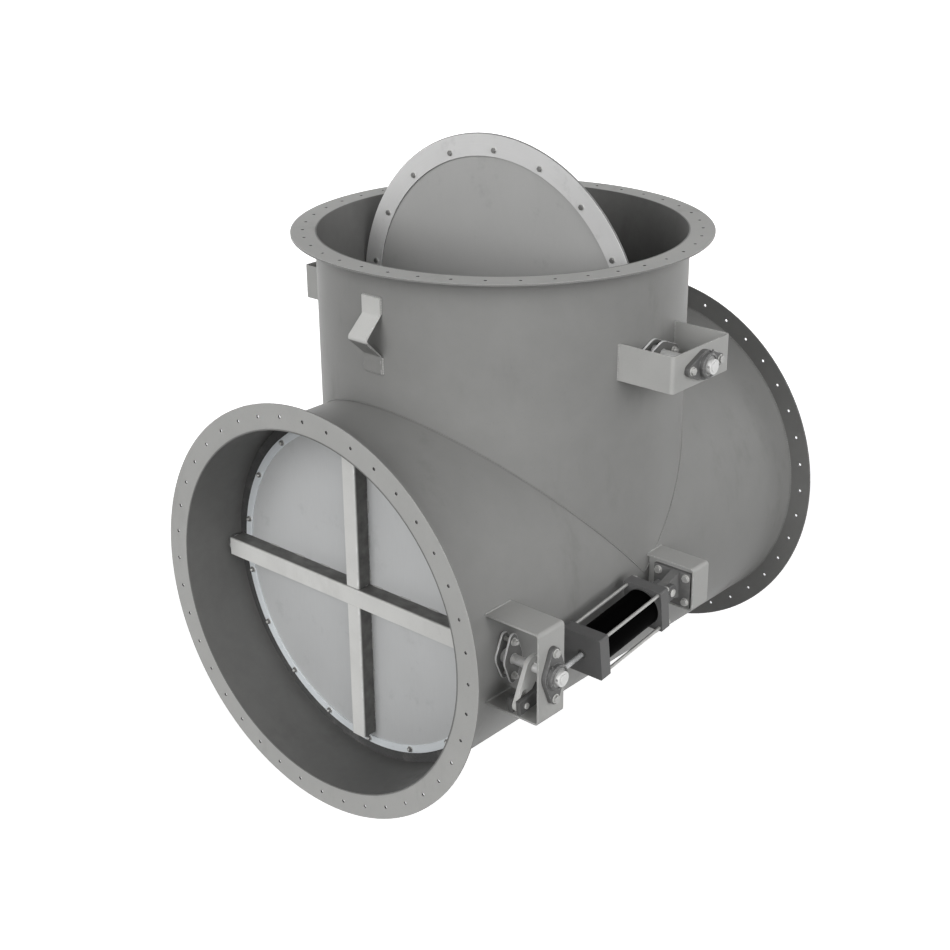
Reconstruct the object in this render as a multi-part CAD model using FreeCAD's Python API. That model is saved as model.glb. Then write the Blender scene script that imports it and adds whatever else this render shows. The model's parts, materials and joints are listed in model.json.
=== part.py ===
# Round face and bypass damper: a flanged tee of two equal ducts with a butterfly
# blade in the face port and one in the bypass port. An air cylinder on the side
# of the main duct turns the face blade through a lever.
#
# Frame, in millimetres: the origin is the centre of the common port's flange
# face. +Y points out of the common port, so the main duct lies along -Y and its
# face port looks along -Y. +Z points up, out of the bypass port. +X is the side
# of the air cylinder. The model rests as in service on the face side: the face
# blade is closed and the bypass blade stands open.
import FreeCAD, Part
import math
import os

V = FreeCAD.Vector
X_AXIS = V(1, 0, 0)
Y_AXIS = V(0, 1, 0)
Z_AXIS = V(0, 0, 1)

# Ducts
duct_radius = 500.0             # inside radius of the main duct and of the branch
duct_wall = 4.0
common_length = 760.0           # branch centre line to the common flange's face
face_length = 760.0             # branch centre line to the face flange's face
bypass_height = 883.0           # main duct's centre line to the bypass flange's face
weld_gap = 0.2                  # room between a welded piece and the wall it stands on

# Flanges
flange_width = 66.0             # from the duct's outside to the flange's rim
flange_thickness = 5.0
flange_holes = 40
flange_hole_radius = 4.5

# Blades: shaft lines, beam, plates and seal
face_shaft_depth = 168.0        # from the face flange's face to the face shaft
bypass_shaft_depth = 250.0      # from the bypass flange's face to the bypass shaft
shaft_radius = 12.5
beam_size = 50.0                # square section of the beam that holds the shaft ends
beam_wall = 4.0
beam_end_gap = 15.0             # from the beam's end to the duct's inside
beam_plug_length = 60.0         # solid end of the beam, bored for the shaft
shaft_grip = 70.0               # length of a shaft inside the beam
stiffener_width = 45.0
stiffener_setback = 4.0         # how far a stiffener's face lies behind the beam's
stiffener_wall = 4.0
stiffener_end_gap = 16.0        # from a stiffener's end to the clamp ring
plate_rim_gap = 32.0            # from the plate's rim to the duct's inside
plate_thickness = 3.0
clamp_ring_width = 22.0
clamp_ring_thickness = 4.0
clamp_ring_clearance = 2.0      # between the clamp ring's cut ends and the beam
seal_thickness = 3.0
seal_swing_clearance = 0.5      # between the turning seal's edge and the duct
seal_inner_gap = 62.0           # from the seal's inner edge to the duct's inside
seal_ring_thickness = 3.0
seal_ring_clearance = 3.5       # between the stainless seal ring's rim and the duct

# Bolts round a blade
blade_bolts = 18
blade_bolt_gap = 44.0           # from the bolts' circle to the duct's inside
bolt_head_flats = 13.0
bolt_head_height = 5.3
bolt_nut_height = 6.5

# Packing gland on the duct wall
gland_box_radius = 25.0
gland_bore_radius = 18.0
gland_neck_clearance = 0.5      # between the shaft and the neck of the gland box
gland_neck_length = 3.0
gland_box_clearance = 0.3       # between the gland box and the hole in the duct wall
gland_foot_gap = 1.0            # from the duct's outside to the gland box's plate
gland_end_gap = 1.0             # from the beam's end to the gland box
packing_rings = 3
packing_gap = 0.2
packing_running_clearance = 0.05
gland_plate_thickness = 6.0
gland_plate_height = 127.0
gland_plate_width = 68.0
follower_height = 136.0
follower_lift = 21.0            # clear space between the two gland plates
follower_clearance = 0.3
gland_stud_pitch = 94.0
gland_stud_radius = 5.0
gland_stud_clearance = 0.5
gland_stud_end = 14.0           # stud standing out of the follower plate
gland_nut_flats = 16.0
gland_nut_height = 8.0

# Bearing brackets and flange bearings
bracket_reach = 152.5           # from the duct's outside to the bracket's outer face
bracket_height = 250.0
bracket_width = 98.0
bracket_thickness = 5.0
bracket_bend = 6.0              # inside radius of the bends
bracket_bore_clearance = 4.0    # round the shaft, in the bracket's outer plate
bearing_bolt_pitch = 124.0
bearing_bolt_radius = 6.0
bearing_bolt_clearance = 0.5
bearing_bolt_flats = 18.0
bearing_bolt_height = 7.5
bearing_plate_thickness = 14.0
bearing_eye_radius = 15.5       # round each bolt of the oval plate
bearing_waist_radius = 39.0
bearing_hub_radius = 33.0
bearing_hub_height = 28.0
bearing_hub_chamfer = 3.0
bearing_seat_radius = 26.0
bearing_insert_clearance = 0.1
bearing_insert_setback = 3.0
inner_ring_radius = 20.0
inner_ring_running_clearance = 0.08
inner_ring_stand = 10.0         # inner ring standing out of the hub
shaft_fit_clearance = 0.05      # between the shaft and what is fixed on it
shaft_end_stand = 1.5           # shaft standing out of the inner ring
drive_end_radius = 12.0         # turned-down end of the bypass shaft, for a drive
drive_end_length = 60.0
key_width = 8.0
key_length = 40.0
key_sink = 4.0

# Lever on the face shaft
lever_length = 97.0             # from the shaft to the clevis pin at both ends of travel
lever_rest_angle = 33.0         # from straight down towards the face port
blade_travel = 90.0
lever_stand = 94.0              # from the duct's outside to the middle of lever, clevis and cylinder
lever_thickness = 12.0
lever_hub_radius = 31.0
lever_end_radius = 18.0

# Rod clevis and its pin
clevis_size = 40.0
clevis_slot_clearance = 1.0     # each side of the lever
clevis_nose = 22.0              # from the pin to the clevis's open end
clevis_body = 70.0              # from the pin to the clevis's rod end
clevis_slot_depth = 48.0        # from the pin to the bottom of the slot
clevis_chamfer = 3.0
clevis_pin_radius = 6.0
clevis_pin_head_radius = 8.0
clevis_pin_head = 4.0
slot_clearance = 0.4            # round the pin in the lever's slot, over the whole travel
rod_end_shift = 5.0             # spreads the pin's play evenly in the slot

# Air cylinder
cap_size = 120.0
cap_chamfer = 3.0
front_cap_length = 36.0
rear_cap_length = 32.0
barrel_radius = 51.0
barrel_wall = 3.0
barrel_length = 226.0
tie_rod_pitch = 100.0
tie_rod_radius = 4.5
tie_rod_grip = 24.0             # tie rod's length inside the front cap
tie_rod_stand = 11.0            # tie rod standing out of the rear cap
tie_rod_nut_flats = 15.0
tie_rod_nut_height = 8.0
piston_rod_radius = 7.0
rod_bush_radius = 14.0
rod_running_clearance = 0.05
rod_thread_grip = 20.0          # piston rod's length inside the clevis
rod_nut_flats = 24.0
rod_nut_height = 8.0
piston_length = 30.0
piston_end_room = 6.0           # from the front cap to the piston at rest
piston_running_clearance = 0.1
port_radius = 9.0
port_depth = 14.0
fit_clearance = 0.1             # between bolted pieces and the holes they pass

# Rear clevis of the cylinder, and the pivot bracket on the duct
pivot_behind_branch = -40.0     # Y of the rear pin from the branch's centre line
pivot_height = -6.0             # Z of the rear pin from the duct's centre line
rear_clevis_length = 63.0       # from the rear cap to the rear pin
rear_clevis_base = 74.0
rear_clevis_base_thickness = 12.0
rear_clevis_cheek = 14.0
rear_eye_radius = 22.0
rear_pin_radius = 8.0
rear_pin_head_radius = 11.0
rear_pin_head = 4.0
pivot_lug_thickness = 24.0
pivot_lug_clearance = 0.5
pivot_plate_offset = 52.0       # from the rear pin to the pivot plate's front face
pivot_plate_size = 117.0
pivot_plate_height = 101.0
pivot_plate_thickness = 11.0
pivot_plate_chamfer = 1.0
pivot_web_thickness = 8.0
pivot_bolt_pitch = 89.0
pivot_bolt_height_pitch = 70.0
pivot_bolt_radius = 6.0
pivot_bolt_flats = 18.0
pivot_bolt_height = 7.5
pivot_strap_height = 125.0      # bracket round the pivot plate
pivot_strap_width = 72.0
pivot_strap_drop = 10.0         # bracket's middle below the duct's centre line

# Lifting strap on the branch
strap_width = 62.0
strap_thickness = 7.0
strap_lift = 9.0                # strap's knee above the middle of the wall from saddle to flange
strap_flat = 45.0               # each flat end against the wall
strap_rise = 55.0               # from a flat end to the strap's knee, along Z
strap_reach = 55.0              # how far the knee stands out from the flat ends
strap_bend = 6.0                # inside radius of the bends

# Places that follow from the sizes above
duct_outer = duct_radius + duct_wall
branch_y = -common_length
face_y = -(common_length + face_length)
face_shaft_y = face_y + face_shaft_depth
bypass_shaft_z = bypass_height - bypass_shaft_depth
flange_outer = duct_outer + flange_width
flange_hole_circle = duct_outer + flange_width / 2
bracket_outer_x = duct_outer + bracket_reach
lever_middle = duct_outer + lever_stand
beam_half = duct_radius - beam_end_gap
plate_radius = duct_radius - plate_rim_gap
seal_inner_radius = duct_radius - seal_inner_gap
blade_bolt_radius = duct_radius - blade_bolt_gap
beam_face = beam_size / 2
plate_back = beam_face + plate_thickness
seal_back = plate_back + seal_thickness
blade_back = seal_back + seal_ring_thickness
seal_swing_radius = duct_radius - seal_swing_clearance
seal_radius = math.sqrt(seal_swing_radius ** 2 - seal_back ** 2)
seal_ring_radius = duct_radius - seal_ring_clearance
gland_plate_x = duct_outer + gland_foot_gap
gland_box_x = beam_half + gland_end_gap
follower_x = gland_plate_x + gland_plate_thickness + follower_lift
bearing_face_x = bracket_outer_x
inner_ring_end_x = bearing_face_x + bearing_hub_height + inner_ring_stand
shaft_end_x = inner_ring_end_x + shaft_end_stand

face_station = FreeCAD.Placement(V(0, face_shaft_y, 0), FreeCAD.Rotation())
bypass_station = FreeCAD.Placement(V(0, branch_y, bypass_shaft_z), FreeCAD.Rotation(X_AXIS, -90))
bypass_open = FreeCAD.Placement(V(0, branch_y, bypass_shaft_z), FreeCAD.Rotation(X_AXIS, 180))


def save(node, *solids):
    """Write one node, made of one or more separate solids, as a STEP file."""
    shape = solids[0] if len(solids) == 1 else Part.makeCompound(list(solids))
    shape.exportStep(os.path.join("parts", node + ".step"))
    print(node, len(shape.Solids), "solid(s)", round(shape.Volume / 1000), "cm3")


def rod(radius, start, end):
    """Round bar between two points."""
    direction = end - start
    return Part.makeCylinder(radius, direction.Length, start, direction)


def tube(outer, inner, start, end):
    """Round bar with a concentric hole right through."""
    return rod(outer, start, end).cut(rod(inner, start, end))


def x_rod(radius, x0, x1, y=0.0, z=0.0):
    return rod(radius, V(x0, y, z), V(x1, y, z))


def x_tube(outer, inner, x0, x1, y=0.0, z=0.0):
    return tube(outer, inner, V(x0, y, z), V(x1, y, z))


def y_rod(radius, y0, y1, x=0.0, z=0.0):
    return rod(radius, V(x, y0, z), V(x, y1, z))


def y_tube(outer, inner, y0, y1, x=0.0, z=0.0):
    return tube(outer, inner, V(x, y0, z), V(x, y1, z))


def block(x0, x1, y0, y1, z0, z1):
    return Part.makeBox(x1 - x0, y1 - y0, z1 - z0, V(x0, y0, z0))


def hexagon(flats, start, end):
    """Hexagonal prism for a bolt head or nut, from one point to another."""
    direction = end - start
    corner = flats / math.sqrt(3)
    points = [V(corner * math.cos(math.radians(60 * k)), corner * math.sin(math.radians(60 * k)), 0)
              for k in range(7)]
    prism = Part.Face(Part.makePolygon(points)).extrude(V(0, 0, direction.Length))
    prism.Placement = FreeCAD.Placement(start, FreeCAD.Rotation(Z_AXIS, direction))
    return prism


def nut(flats, bore, start, end):
    return hexagon(flats, start, end).cut(rod(bore, start, end))


def hull_of_circles(circles, x0, x1):
    """Plate across X whose outline wraps circles (y, z, radius) in pairs, as an eye or a lever does."""
    shape = None
    for (y0, z0, r0), (y1, z1, r1) in zip(circles, circles[1:]):
        span = math.hypot(y1 - y0, z1 - z0)
        along = math.atan2(z1 - z0, y1 - y0)
        lean = math.acos((r0 - r1) / span)
        corners = [V(x0, y + r * math.cos(along + side * lean), z + r * math.sin(along + side * lean))
                   for y, z, r, side in ((y0, z0, r0, 1), (y1, z1, r1, 1),
                                         (y1, z1, r1, -1), (y0, z0, r0, -1))]
        web = Part.Face(Part.makePolygon(corners + corners[:1])).extrude(V(x1 - x0, 0, 0))
        pair = web.fuse(x_rod(r0, x0, x1, y0, z0)).fuse(x_rod(r1, x0, x1, y1, z1))
        shape = pair if shape is None else shape.fuse(pair)
    return shape.removeSplitter()


def placed(shape, placement):
    """A copy of a shape, moved by a placement."""
    copy = shape.copy()
    copy.Placement = placement.multiply(copy.Placement)
    return copy


def mirrored(shape):
    """A copy of a shape on the other side of the duct."""
    return shape.mirror(V(0, 0, 0), X_AXIS)


def chamfered(shape, size, picked):
    """Chamfer the edges that a test picks."""
    return shape.makeChamfer(size, [edge for edge in shape.Edges if picked(edge)])


def is_straight_along(edge, axis):
    if len(edge.Vertexes) != 2 or not isinstance(edge.Curve, Part.Line):
        return False
    return edge.tangentAt(edge.FirstParameter).cross(axis).Length < 1e-6


# Ducts and flanges


def gland_holes(station):
    """Holes for the two gland boxes of one shaft."""
    hole = x_rod(gland_box_radius + gland_box_clearance, -duct_outer * 1.1, duct_outer * 1.1)
    return placed(hole, station)


def main_duct():
    """Straight shell with a branch opening on top, as wide as the branch's bore."""
    shell = y_tube(duct_outer, duct_radius, face_y, 0)
    opening = rod(duct_radius, V(0, branch_y, 0), V(0, branch_y, duct_outer * 1.5))
    return shell.cut(opening).cut(gland_holes(face_station))


def branch_duct():
    """Upright shell whose foot is cut to the main duct's outside, on which it is welded."""
    shell = tube(duct_outer, duct_radius, V(0, branch_y, 0), V(0, branch_y, bypass_height))
    saddle = y_rod(duct_outer + weld_gap, face_y, 0)
    return shell.cut(saddle).cut(gland_holes(bypass_station))


def flange(centre, outward):
    """Flat ring round a duct's end, its face flush with the end, drilled on a bolt circle."""
    back = centre - outward * flange_thickness
    ring = tube(flange_outer, duct_outer + weld_gap, back, centre)
    sideways = outward.cross(X_AXIS)
    for k in range(flange_holes):
        angle = 2 * math.pi * k / flange_holes
        spot = (X_AXIS * math.cos(angle) + sideways * math.sin(angle)) * flange_hole_circle
        ring = ring.cut(rod(flange_hole_radius, back + spot, centre + spot))
    return ring


# Blades, modelled closed, with the shaft along X through the origin, the duct
# along Y and the beam's side towards -Y


def blade_beam():
    """Square tube across the blade. Its solid ends are bored for the shaft ends."""
    half = beam_size / 2
    inner = half - beam_wall
    hollow = beam_half - beam_plug_length
    beam = block(-beam_half, beam_half, -half, half, -half, half)
    beam = beam.cut(block(-hollow, hollow, -inner, inner, -inner, inner))
    bore = shaft_radius + shaft_fit_clearance
    return beam.cut(x_rod(bore, hollow, beam_half)).cut(x_rod(bore, -beam_half, -hollow))


def blade_stiffener(side):
    """Square tube from the beam to near the clamp ring, with a closed outer end."""
    half = stiffener_width / 2
    front = -beam_face + stiffener_setback
    start = beam_face + weld_gap
    end = plate_radius - clamp_ring_width - stiffener_end_gap
    inner = half - stiffener_wall
    outer_box = block(-half, half, front, beam_face, start, end)
    inner_box = block(-inner, inner, front + stiffener_wall, beam_face - stiffener_wall,
                      start, end - stiffener_wall)
    shape = outer_box.cut(inner_box)
    return shape if side > 0 else shape.mirror(V(0, 0, 0), Z_AXIS)


def blade_plate():
    return y_rod(plate_radius, beam_face, plate_back)


def blade_clamp_ring():
    """Narrow ring on the beam's side, in two halves that end at the beam."""
    front = beam_face - clamp_ring_thickness
    ring = y_tube(plate_radius, plate_radius - clamp_ring_width, front, beam_face)
    room = beam_face + clamp_ring_clearance
    return ring.cut(block(-plate_radius, plate_radius, front, beam_face, -room, room)).Solids


def blade_seal():
    """Rubber ring between the plate and the stainless ring. Its edge wipes the duct."""
    return y_tube(seal_radius, seal_inner_radius, plate_back, seal_back)


def blade_seal_ring():
    return y_tube(seal_ring_radius, seal_inner_radius, seal_back, blade_back)


def blade_bolt_heads():
    """Hexagon heads on the stainless ring and nuts on the clamp ring, one pair per bolt."""
    clamp_front = beam_face - clamp_ring_thickness
    pieces = []
    for k in range(blade_bolts):
        angle = math.radians(-90) + 2 * math.pi * k / blade_bolts
        x = blade_bolt_radius * math.cos(angle)
        z = blade_bolt_radius * math.sin(angle)
        pieces.append(hexagon(bolt_head_flats, V(x, blade_back, z), V(x, blade_back + bolt_head_height, z)))
        pieces.append(hexagon(bolt_head_flats, V(x, clamp_front - bolt_nut_height, z), V(x, clamp_front, z)))
    return pieces


def plain_shaft_end():
    """Shaft from inside the beam, through gland and bearing."""
    return x_rod(shaft_radius, beam_half - shaft_grip, shaft_end_x)


def lever_shaft_end():
    """Shaft end with a keyway for the lever."""
    return plain_shaft_end().cut(key_block(lever_middle, 0.0))


def drive_shaft_end():
    """Shaft end with a turned-down and keyed length outside the bearing, for a drive."""
    end = shaft_end_x + drive_end_length
    shaft = plain_shaft_end().fuse(x_rod(drive_end_radius, shaft_end_x, end))
    return shaft.cut(key_block(end - key_length / 2, 0.0))


def key_block(middle, clearance):
    """Parallel key on the shaft's +Z side."""
    half = key_width / 2 + clearance
    bottom = shaft_radius - key_sink
    return block(middle - key_length / 2, middle + key_length / 2, -half, half,
                 bottom, bottom + 2 * key_sink - 1 + clearance)


def bearing_inner_ring():
    """Ring of the bearing that turns with the shaft and stands out of the hub."""
    bore = shaft_radius + shaft_fit_clearance
    return x_tube(inner_ring_radius, bore, bearing_face_x + bearing_insert_setback, inner_ring_end_x)


# Fixed pieces along a shaft, modelled on the +X side


def oval_plate(height, width, x0, x1):
    """Two-bolt plate: a round middle drawn out to an eye round each stud."""
    eye = width / 5
    reach = height / 2 - eye
    return hull_of_circles([(0, -reach, eye), (0, 0, width / 2), (0, reach, eye)], x0, x1)


def gland_box():
    """Packing box through the duct wall, with an oval plate outside."""
    plate_end = gland_plate_x + gland_plate_thickness
    box = x_rod(gland_box_radius, gland_box_x, plate_end)
    box = box.fuse(oval_plate(gland_plate_height, gland_plate_width, gland_plate_x, plate_end))
    box = box.cut(x_rod(gland_bore_radius, gland_box_x + gland_neck_length, plate_end))
    box = box.cut(x_rod(shaft_radius + gland_neck_clearance, gland_box_x, plate_end))
    for side in (-1, 1):
        hole = gland_stud_radius + fit_clearance
        box = box.cut(x_rod(hole, gland_plate_x, plate_end, 0, side * gland_stud_pitch / 2))
    return box.removeSplitter()


def packing_length():
    return (gland_plate_x - gland_box_x - gland_neck_length) / packing_rings


def gland_packing():
    """Soft square rings round the shaft at the bottom of the box."""
    start = gland_box_x + gland_neck_length
    pitch = packing_length()
    return [x_tube(gland_bore_radius - packing_gap, shaft_radius + packing_running_clearance,
                   start + k * pitch + packing_gap, start + (k + 1) * pitch)
            for k in range(packing_rings)]


def gland_follower():
    """Sleeve that presses the packing, on an oval plate held by two studs."""
    sleeve_start = gland_plate_x + packing_gap
    end = follower_x + gland_plate_thickness
    sleeve = x_rod(gland_bore_radius - follower_clearance, sleeve_start, end)
    shape = sleeve.fuse(oval_plate(follower_height, gland_plate_width, follower_x, end))
    shape = shape.cut(x_rod(shaft_radius + gland_neck_clearance, sleeve_start, end))
    for side in (-1, 1):
        hole = gland_stud_radius + gland_stud_clearance
        shape = shape.cut(x_rod(hole, follower_x, end, 0, side * gland_stud_pitch / 2))
    return shape.removeSplitter()


def gland_studs():
    """Two studs with a nut each on the follower's outside."""
    end = follower_x + gland_plate_thickness
    pieces = []
    for side in (-1, 1):
        z = side * gland_stud_pitch / 2
        stud = x_rod(gland_stud_radius, gland_plate_x, end + gland_stud_end, 0, z)
        bolt = stud.fuse(hexagon(gland_nut_flats, V(end, 0, z), V(end + gland_nut_height, 0, z)))
        pieces.append(bolt.removeSplitter())
    return pieces


def bent_strip(x_start, x_end, height, width, middle_z=0.0, middle_y=0.0):
    """Strip bent to a U with its open end towards the duct, as wide along Y as width."""
    def outline(half, end, radius):
        """Solid block whose two long outer edges are rounded."""
        body = block(x_start, end, 0, width, middle_z - half, middle_z + half)
        outer = [edge for edge in body.Edges
                 if is_straight_along(edge, Y_AXIS) and edge.Vertexes[0].X > (x_start + end) / 2]
        return body.makeFillet(radius, outer)

    outside = outline(height / 2, x_end, bracket_bend + bracket_thickness)
    inside = outline(height / 2 - bracket_thickness, x_end - bracket_thickness, bracket_bend)
    return outside.cut(inside).translated(V(0, middle_y - width / 2, 0))


def bearing_bracket():
    """Bent bracket over the gland. Its outer plate carries the flange bearing."""
    shape = bent_strip(duct_radius * 0.8, bracket_outer_x, bracket_height, bracket_width)
    shape = shape.cut(y_rod(duct_outer + weld_gap, -bracket_width, bracket_width))
    plate_start = bracket_outer_x - bracket_thickness
    shape = shape.cut(x_rod(shaft_radius + bracket_bore_clearance, plate_start, bracket_outer_x))
    for side in (-1, 1):
        hole = bearing_bolt_radius + bearing_bolt_clearance
        shape = shape.cut(x_rod(hole, plate_start, bracket_outer_x, 0, side * bearing_bolt_pitch / 2))
    return shape


def bearing_housing():
    """Cast two-bolt flange housing with a raised hub."""
    plate_end = bearing_face_x + bearing_plate_thickness
    hub_end = bearing_face_x + bearing_hub_height
    reach = bearing_bolt_pitch / 2
    plate = hull_of_circles([(0, -reach, bearing_eye_radius), (0, 0, bearing_waist_radius),
                             (0, reach, bearing_eye_radius)], bearing_face_x, plate_end)
    hub = x_rod(bearing_hub_radius, bearing_face_x, hub_end)
    hub = chamfered(hub, bearing_hub_chamfer,
                    lambda edge: len(edge.Vertexes) == 1 and edge.Vertexes[0].X > plate_end)
    shape = plate.fuse(hub).cut(x_rod(bearing_seat_radius, bearing_face_x, hub_end))
    for side in (-1, 1):
        hole = bearing_bolt_radius + bearing_bolt_clearance
        shape = shape.cut(x_rod(hole, bearing_face_x, plate_end, 0, side * reach))
    return shape.removeSplitter()


def bearing_insert():
    """Outer ring and shield of the bearing, in the housing round the turning inner ring."""
    return x_tube(bearing_seat_radius - bearing_insert_clearance,
                  inner_ring_radius + inner_ring_running_clearance,
                  bearing_face_x + bearing_insert_setback,
                  bearing_face_x + bearing_hub_height - bearing_insert_setback)


def bearing_bolts():
    """Two bolts with the head on the housing and the nut inside the bracket."""
    plate_end = bearing_face_x + bearing_plate_thickness
    back = bearing_face_x - bracket_thickness
    pieces = []
    for side in (-1, 1):
        z = side * bearing_bolt_pitch / 2
        shank = x_rod(bearing_bolt_radius, back - bearing_bolt_height, plate_end, 0, z)
        head = hexagon(bearing_bolt_flats, V(plate_end, 0, z), V(plate_end + bearing_bolt_height, 0, z))
        end_nut = hexagon(bearing_bolt_flats, V(back - bearing_bolt_height, 0, z), V(back, 0, z))
        pieces.append(shank.fuse(head).fuse(end_nut).removeSplitter())
    return pieces


def both_sides(pieces):
    """The same pieces at both ends of a shaft."""
    return list(pieces) + [mirrored(piece) for piece in pieces]


# Drive of the face blade. The lever and the cylinder move in the plane across X
# at lever_middle. Points are given as (y, z).


def lever_direction(turn):
    """Unit vector along the lever when the face blade has turned by so many degrees."""
    angle = math.radians(lever_rest_angle - turn)
    return -math.sin(angle), -math.cos(angle)


def nominal_pin(turn):
    """Where a plain round hole at the lever's end would be."""
    y, z = lever_direction(turn)
    return face_shaft_y + lever_length * y, lever_length * z


def pivot_point():
    return branch_y + pivot_behind_branch, pivot_height


def cylinder_pose(turn):
    """Length from the lever's end to the rear pin, and the cylinder's tilt in degrees."""
    pin = nominal_pin(turn)
    pivot = pivot_point()
    dy = pivot[0] - pin[0]
    dz = pivot[1] - pin[1]
    return math.hypot(dy, dz), math.degrees(math.atan2(dz, dy))


rest_length, rest_tilt = cylinder_pose(0)
open_length, open_tilt = cylinder_pose(blade_travel)
pin_reach = rest_length - rod_end_shift                             # rear pin to clevis pin at rest
piston_stroke = rest_length - open_length - 2 * rod_end_shift
cylinder_swing = open_tilt - rest_tilt


def pin_in_lever(share):
    """Pin's place along and across the lever when every joint has gone the same share of its travel."""
    reach = pin_reach - piston_stroke * share
    tilt = math.radians(rest_tilt + cylinder_swing * share)
    pivot = pivot_point()
    dy = pivot[0] - reach * math.cos(tilt) - face_shaft_y
    dz = pivot[1] - reach * math.sin(tilt)
    uy, uz = lever_direction(blade_travel * share)
    return dy * uy + dz * uz, dz * uy - dy * uz


def slot_size():
    """Ends and half width of the slot that clears the pin over the whole travel."""
    steps = 90
    places = [pin_in_lever(k / steps) for k in range(steps + 1)]
    play = clevis_pin_radius + slot_clearance
    along = [place[0] for place in places]
    across = [abs(place[1]) for place in places]
    return min(along), max(along), max(across) + play


def lever():
    """Tapered lever, keyed on the shaft, with a slot for the clevis pin at its lower end."""
    near, far, half = slot_size()
    x0 = lever_middle - lever_thickness / 2
    x1 = lever_middle + lever_thickness / 2
    uy, uz = lever_direction(0)
    far_centre = max(far, lever_length)

    def at(distance):
        return distance * uy, distance * uz

    shape = hull_of_circles([(0, 0, lever_hub_radius), (*at(far_centre), lever_end_radius)], x0, x1)
    slot = hull_of_circles([(*at(near), half), (*at(far), half - 1e-3)], x0, x1)
    shape = shape.cut(slot)
    shape = shape.cut(x_rod(shaft_radius + shaft_fit_clearance, x0, x1))
    return shape.cut(key_block(lever_middle, shaft_fit_clearance))


# Air cylinder and rod, modelled along Y with the rear pin at the origin


def cylinder_placement():
    y, z = pivot_point()
    return FreeCAD.Placement(V(lever_middle, y, z), FreeCAD.Rotation(X_AXIS, rest_tilt))


rear_cap_back = -rear_clevis_length
rear_cap_front = rear_cap_back - rear_cap_length
front_cap_back = rear_cap_front - barrel_length
front_cap_front = front_cap_back - front_cap_length


def square_cap(y0, y1):
    """Square end cap with chamfered long edges and an air port below."""
    half = cap_size / 2
    cap = block(-half, half, y0, y1, -half, half)
    cap = chamfered(cap, cap_chamfer, lambda edge: is_straight_along(edge, Y_AXIS))
    middle = (y0 + y1) / 2
    return cap.cut(rod(port_radius, V(0, middle, -half), V(0, middle, -half + port_depth)))


def tie_rod_spots():
    half = tie_rod_pitch / 2
    return [(x * half, z * half) for x in (-1, 1) for z in (-1, 1)]


def front_cap():
    """Cap with the rod bush's bore and blind holes for the tie rods."""
    cap = square_cap(front_cap_front, front_cap_back)
    cap = cap.cut(y_rod(rod_bush_radius + fit_clearance, front_cap_front, front_cap_back))
    hole = tie_rod_radius + fit_clearance
    for x, z in tie_rod_spots():
        cap = cap.cut(y_rod(hole, front_cap_back - tie_rod_grip, front_cap_back, x, z))
    return cap


def rear_cap():
    cap = square_cap(rear_cap_front, rear_cap_back)
    for x, z in tie_rod_spots():
        cap = cap.cut(y_rod(tie_rod_radius + fit_clearance, rear_cap_front, rear_cap_back, x, z))
    return cap


def barrel():
    return y_tube(barrel_radius, barrel_radius - barrel_wall, front_cap_back, rear_cap_front)


def tie_rods():
    """Four rods that draw the caps together, each with a nut behind the rear cap."""
    pieces = []
    for x, z in tie_rod_spots():
        bar = y_rod(tie_rod_radius, front_cap_back - tie_rod_grip, rear_cap_back + tie_rod_stand, x, z)
        end = V(x, rear_cap_back, z)
        bar = bar.fuse(hexagon(tie_rod_nut_flats, end, end + V(0, tie_rod_nut_height, 0)))
        pieces.append(bar.removeSplitter())
    return pieces


def rod_bush():
    """Bronze bush in the front cap, flush with its face."""
    return y_tube(rod_bush_radius, piston_rod_radius + rod_running_clearance, front_cap_front, front_cap_back)


def rear_clevis():
    """Fork bolted to the rear cap, with its two cheeks round the rear pin."""
    base = rear_clevis_base / 2
    half = pivot_lug_thickness / 2 + pivot_lug_clearance + rear_clevis_cheek
    gap = pivot_lug_thickness / 2 + pivot_lug_clearance
    base_front = rear_cap_back + rear_clevis_base_thickness
    shape = block(-base, base, rear_cap_back, base_front, -base, base)
    arm = block(-half, half, rear_cap_back, 0, -rear_eye_radius, rear_eye_radius)
    arm = arm.fuse(x_rod(rear_eye_radius, -half, half))
    shape = shape.fuse(arm)
    shape = shape.cut(block(-gap, gap, base_front, rear_eye_radius, -base, base))
    return shape.cut(x_rod(rear_pin_radius + fit_clearance, -half, half)).removeSplitter()


def rear_pin():
    """Pin through the fork and the lug, with a head at each end."""
    half = pivot_lug_thickness / 2 + pivot_lug_clearance + rear_clevis_cheek
    pin = x_rod(rear_pin_radius, -half - rear_pin_head, half + rear_pin_head)
    for side in (-1, 1):
        pin = pin.fuse(x_rod(rear_pin_head_radius, side * half, side * (half + rear_pin_head)))
    return pin.removeSplitter()


def rod_clevis():
    """Square fork screwed on the piston rod, with its slot over the lever's end."""
    half = clevis_size / 2
    front = -pin_reach - clevis_nose
    back = -pin_reach + clevis_body
    fork = block(-half, half, front, back, -half, half)
    fork = chamfered(fork, clevis_chamfer, lambda edge: is_straight_along(edge, Y_AXIS))
    gap = lever_thickness / 2 + clevis_slot_clearance
    fork = fork.cut(block(-gap, gap, front, -pin_reach + clevis_slot_depth, -half, half))
    fork = fork.cut(x_rod(clevis_pin_radius + fit_clearance, -half, half, -pin_reach))
    return fork.cut(y_rod(piston_rod_radius + fit_clearance, back - rod_thread_grip, back))


def clevis_pin():
    """Headed pin across the fork, with a retaining washer on its inner end."""
    half = clevis_size / 2
    pin = x_rod(clevis_pin_radius, -half - clevis_pin_head, half + clevis_pin_head, -pin_reach)
    for side in (-1, 1):
        end = side * (half + clevis_pin_head)
        pin = pin.fuse(x_rod(clevis_pin_head_radius, side * half, end, -pin_reach))
    return pin.removeSplitter()


def piston_rod():
    start = -pin_reach + clevis_body - rod_thread_grip
    return y_rod(piston_rod_radius, start, front_cap_back + piston_end_room + piston_length)


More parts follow.
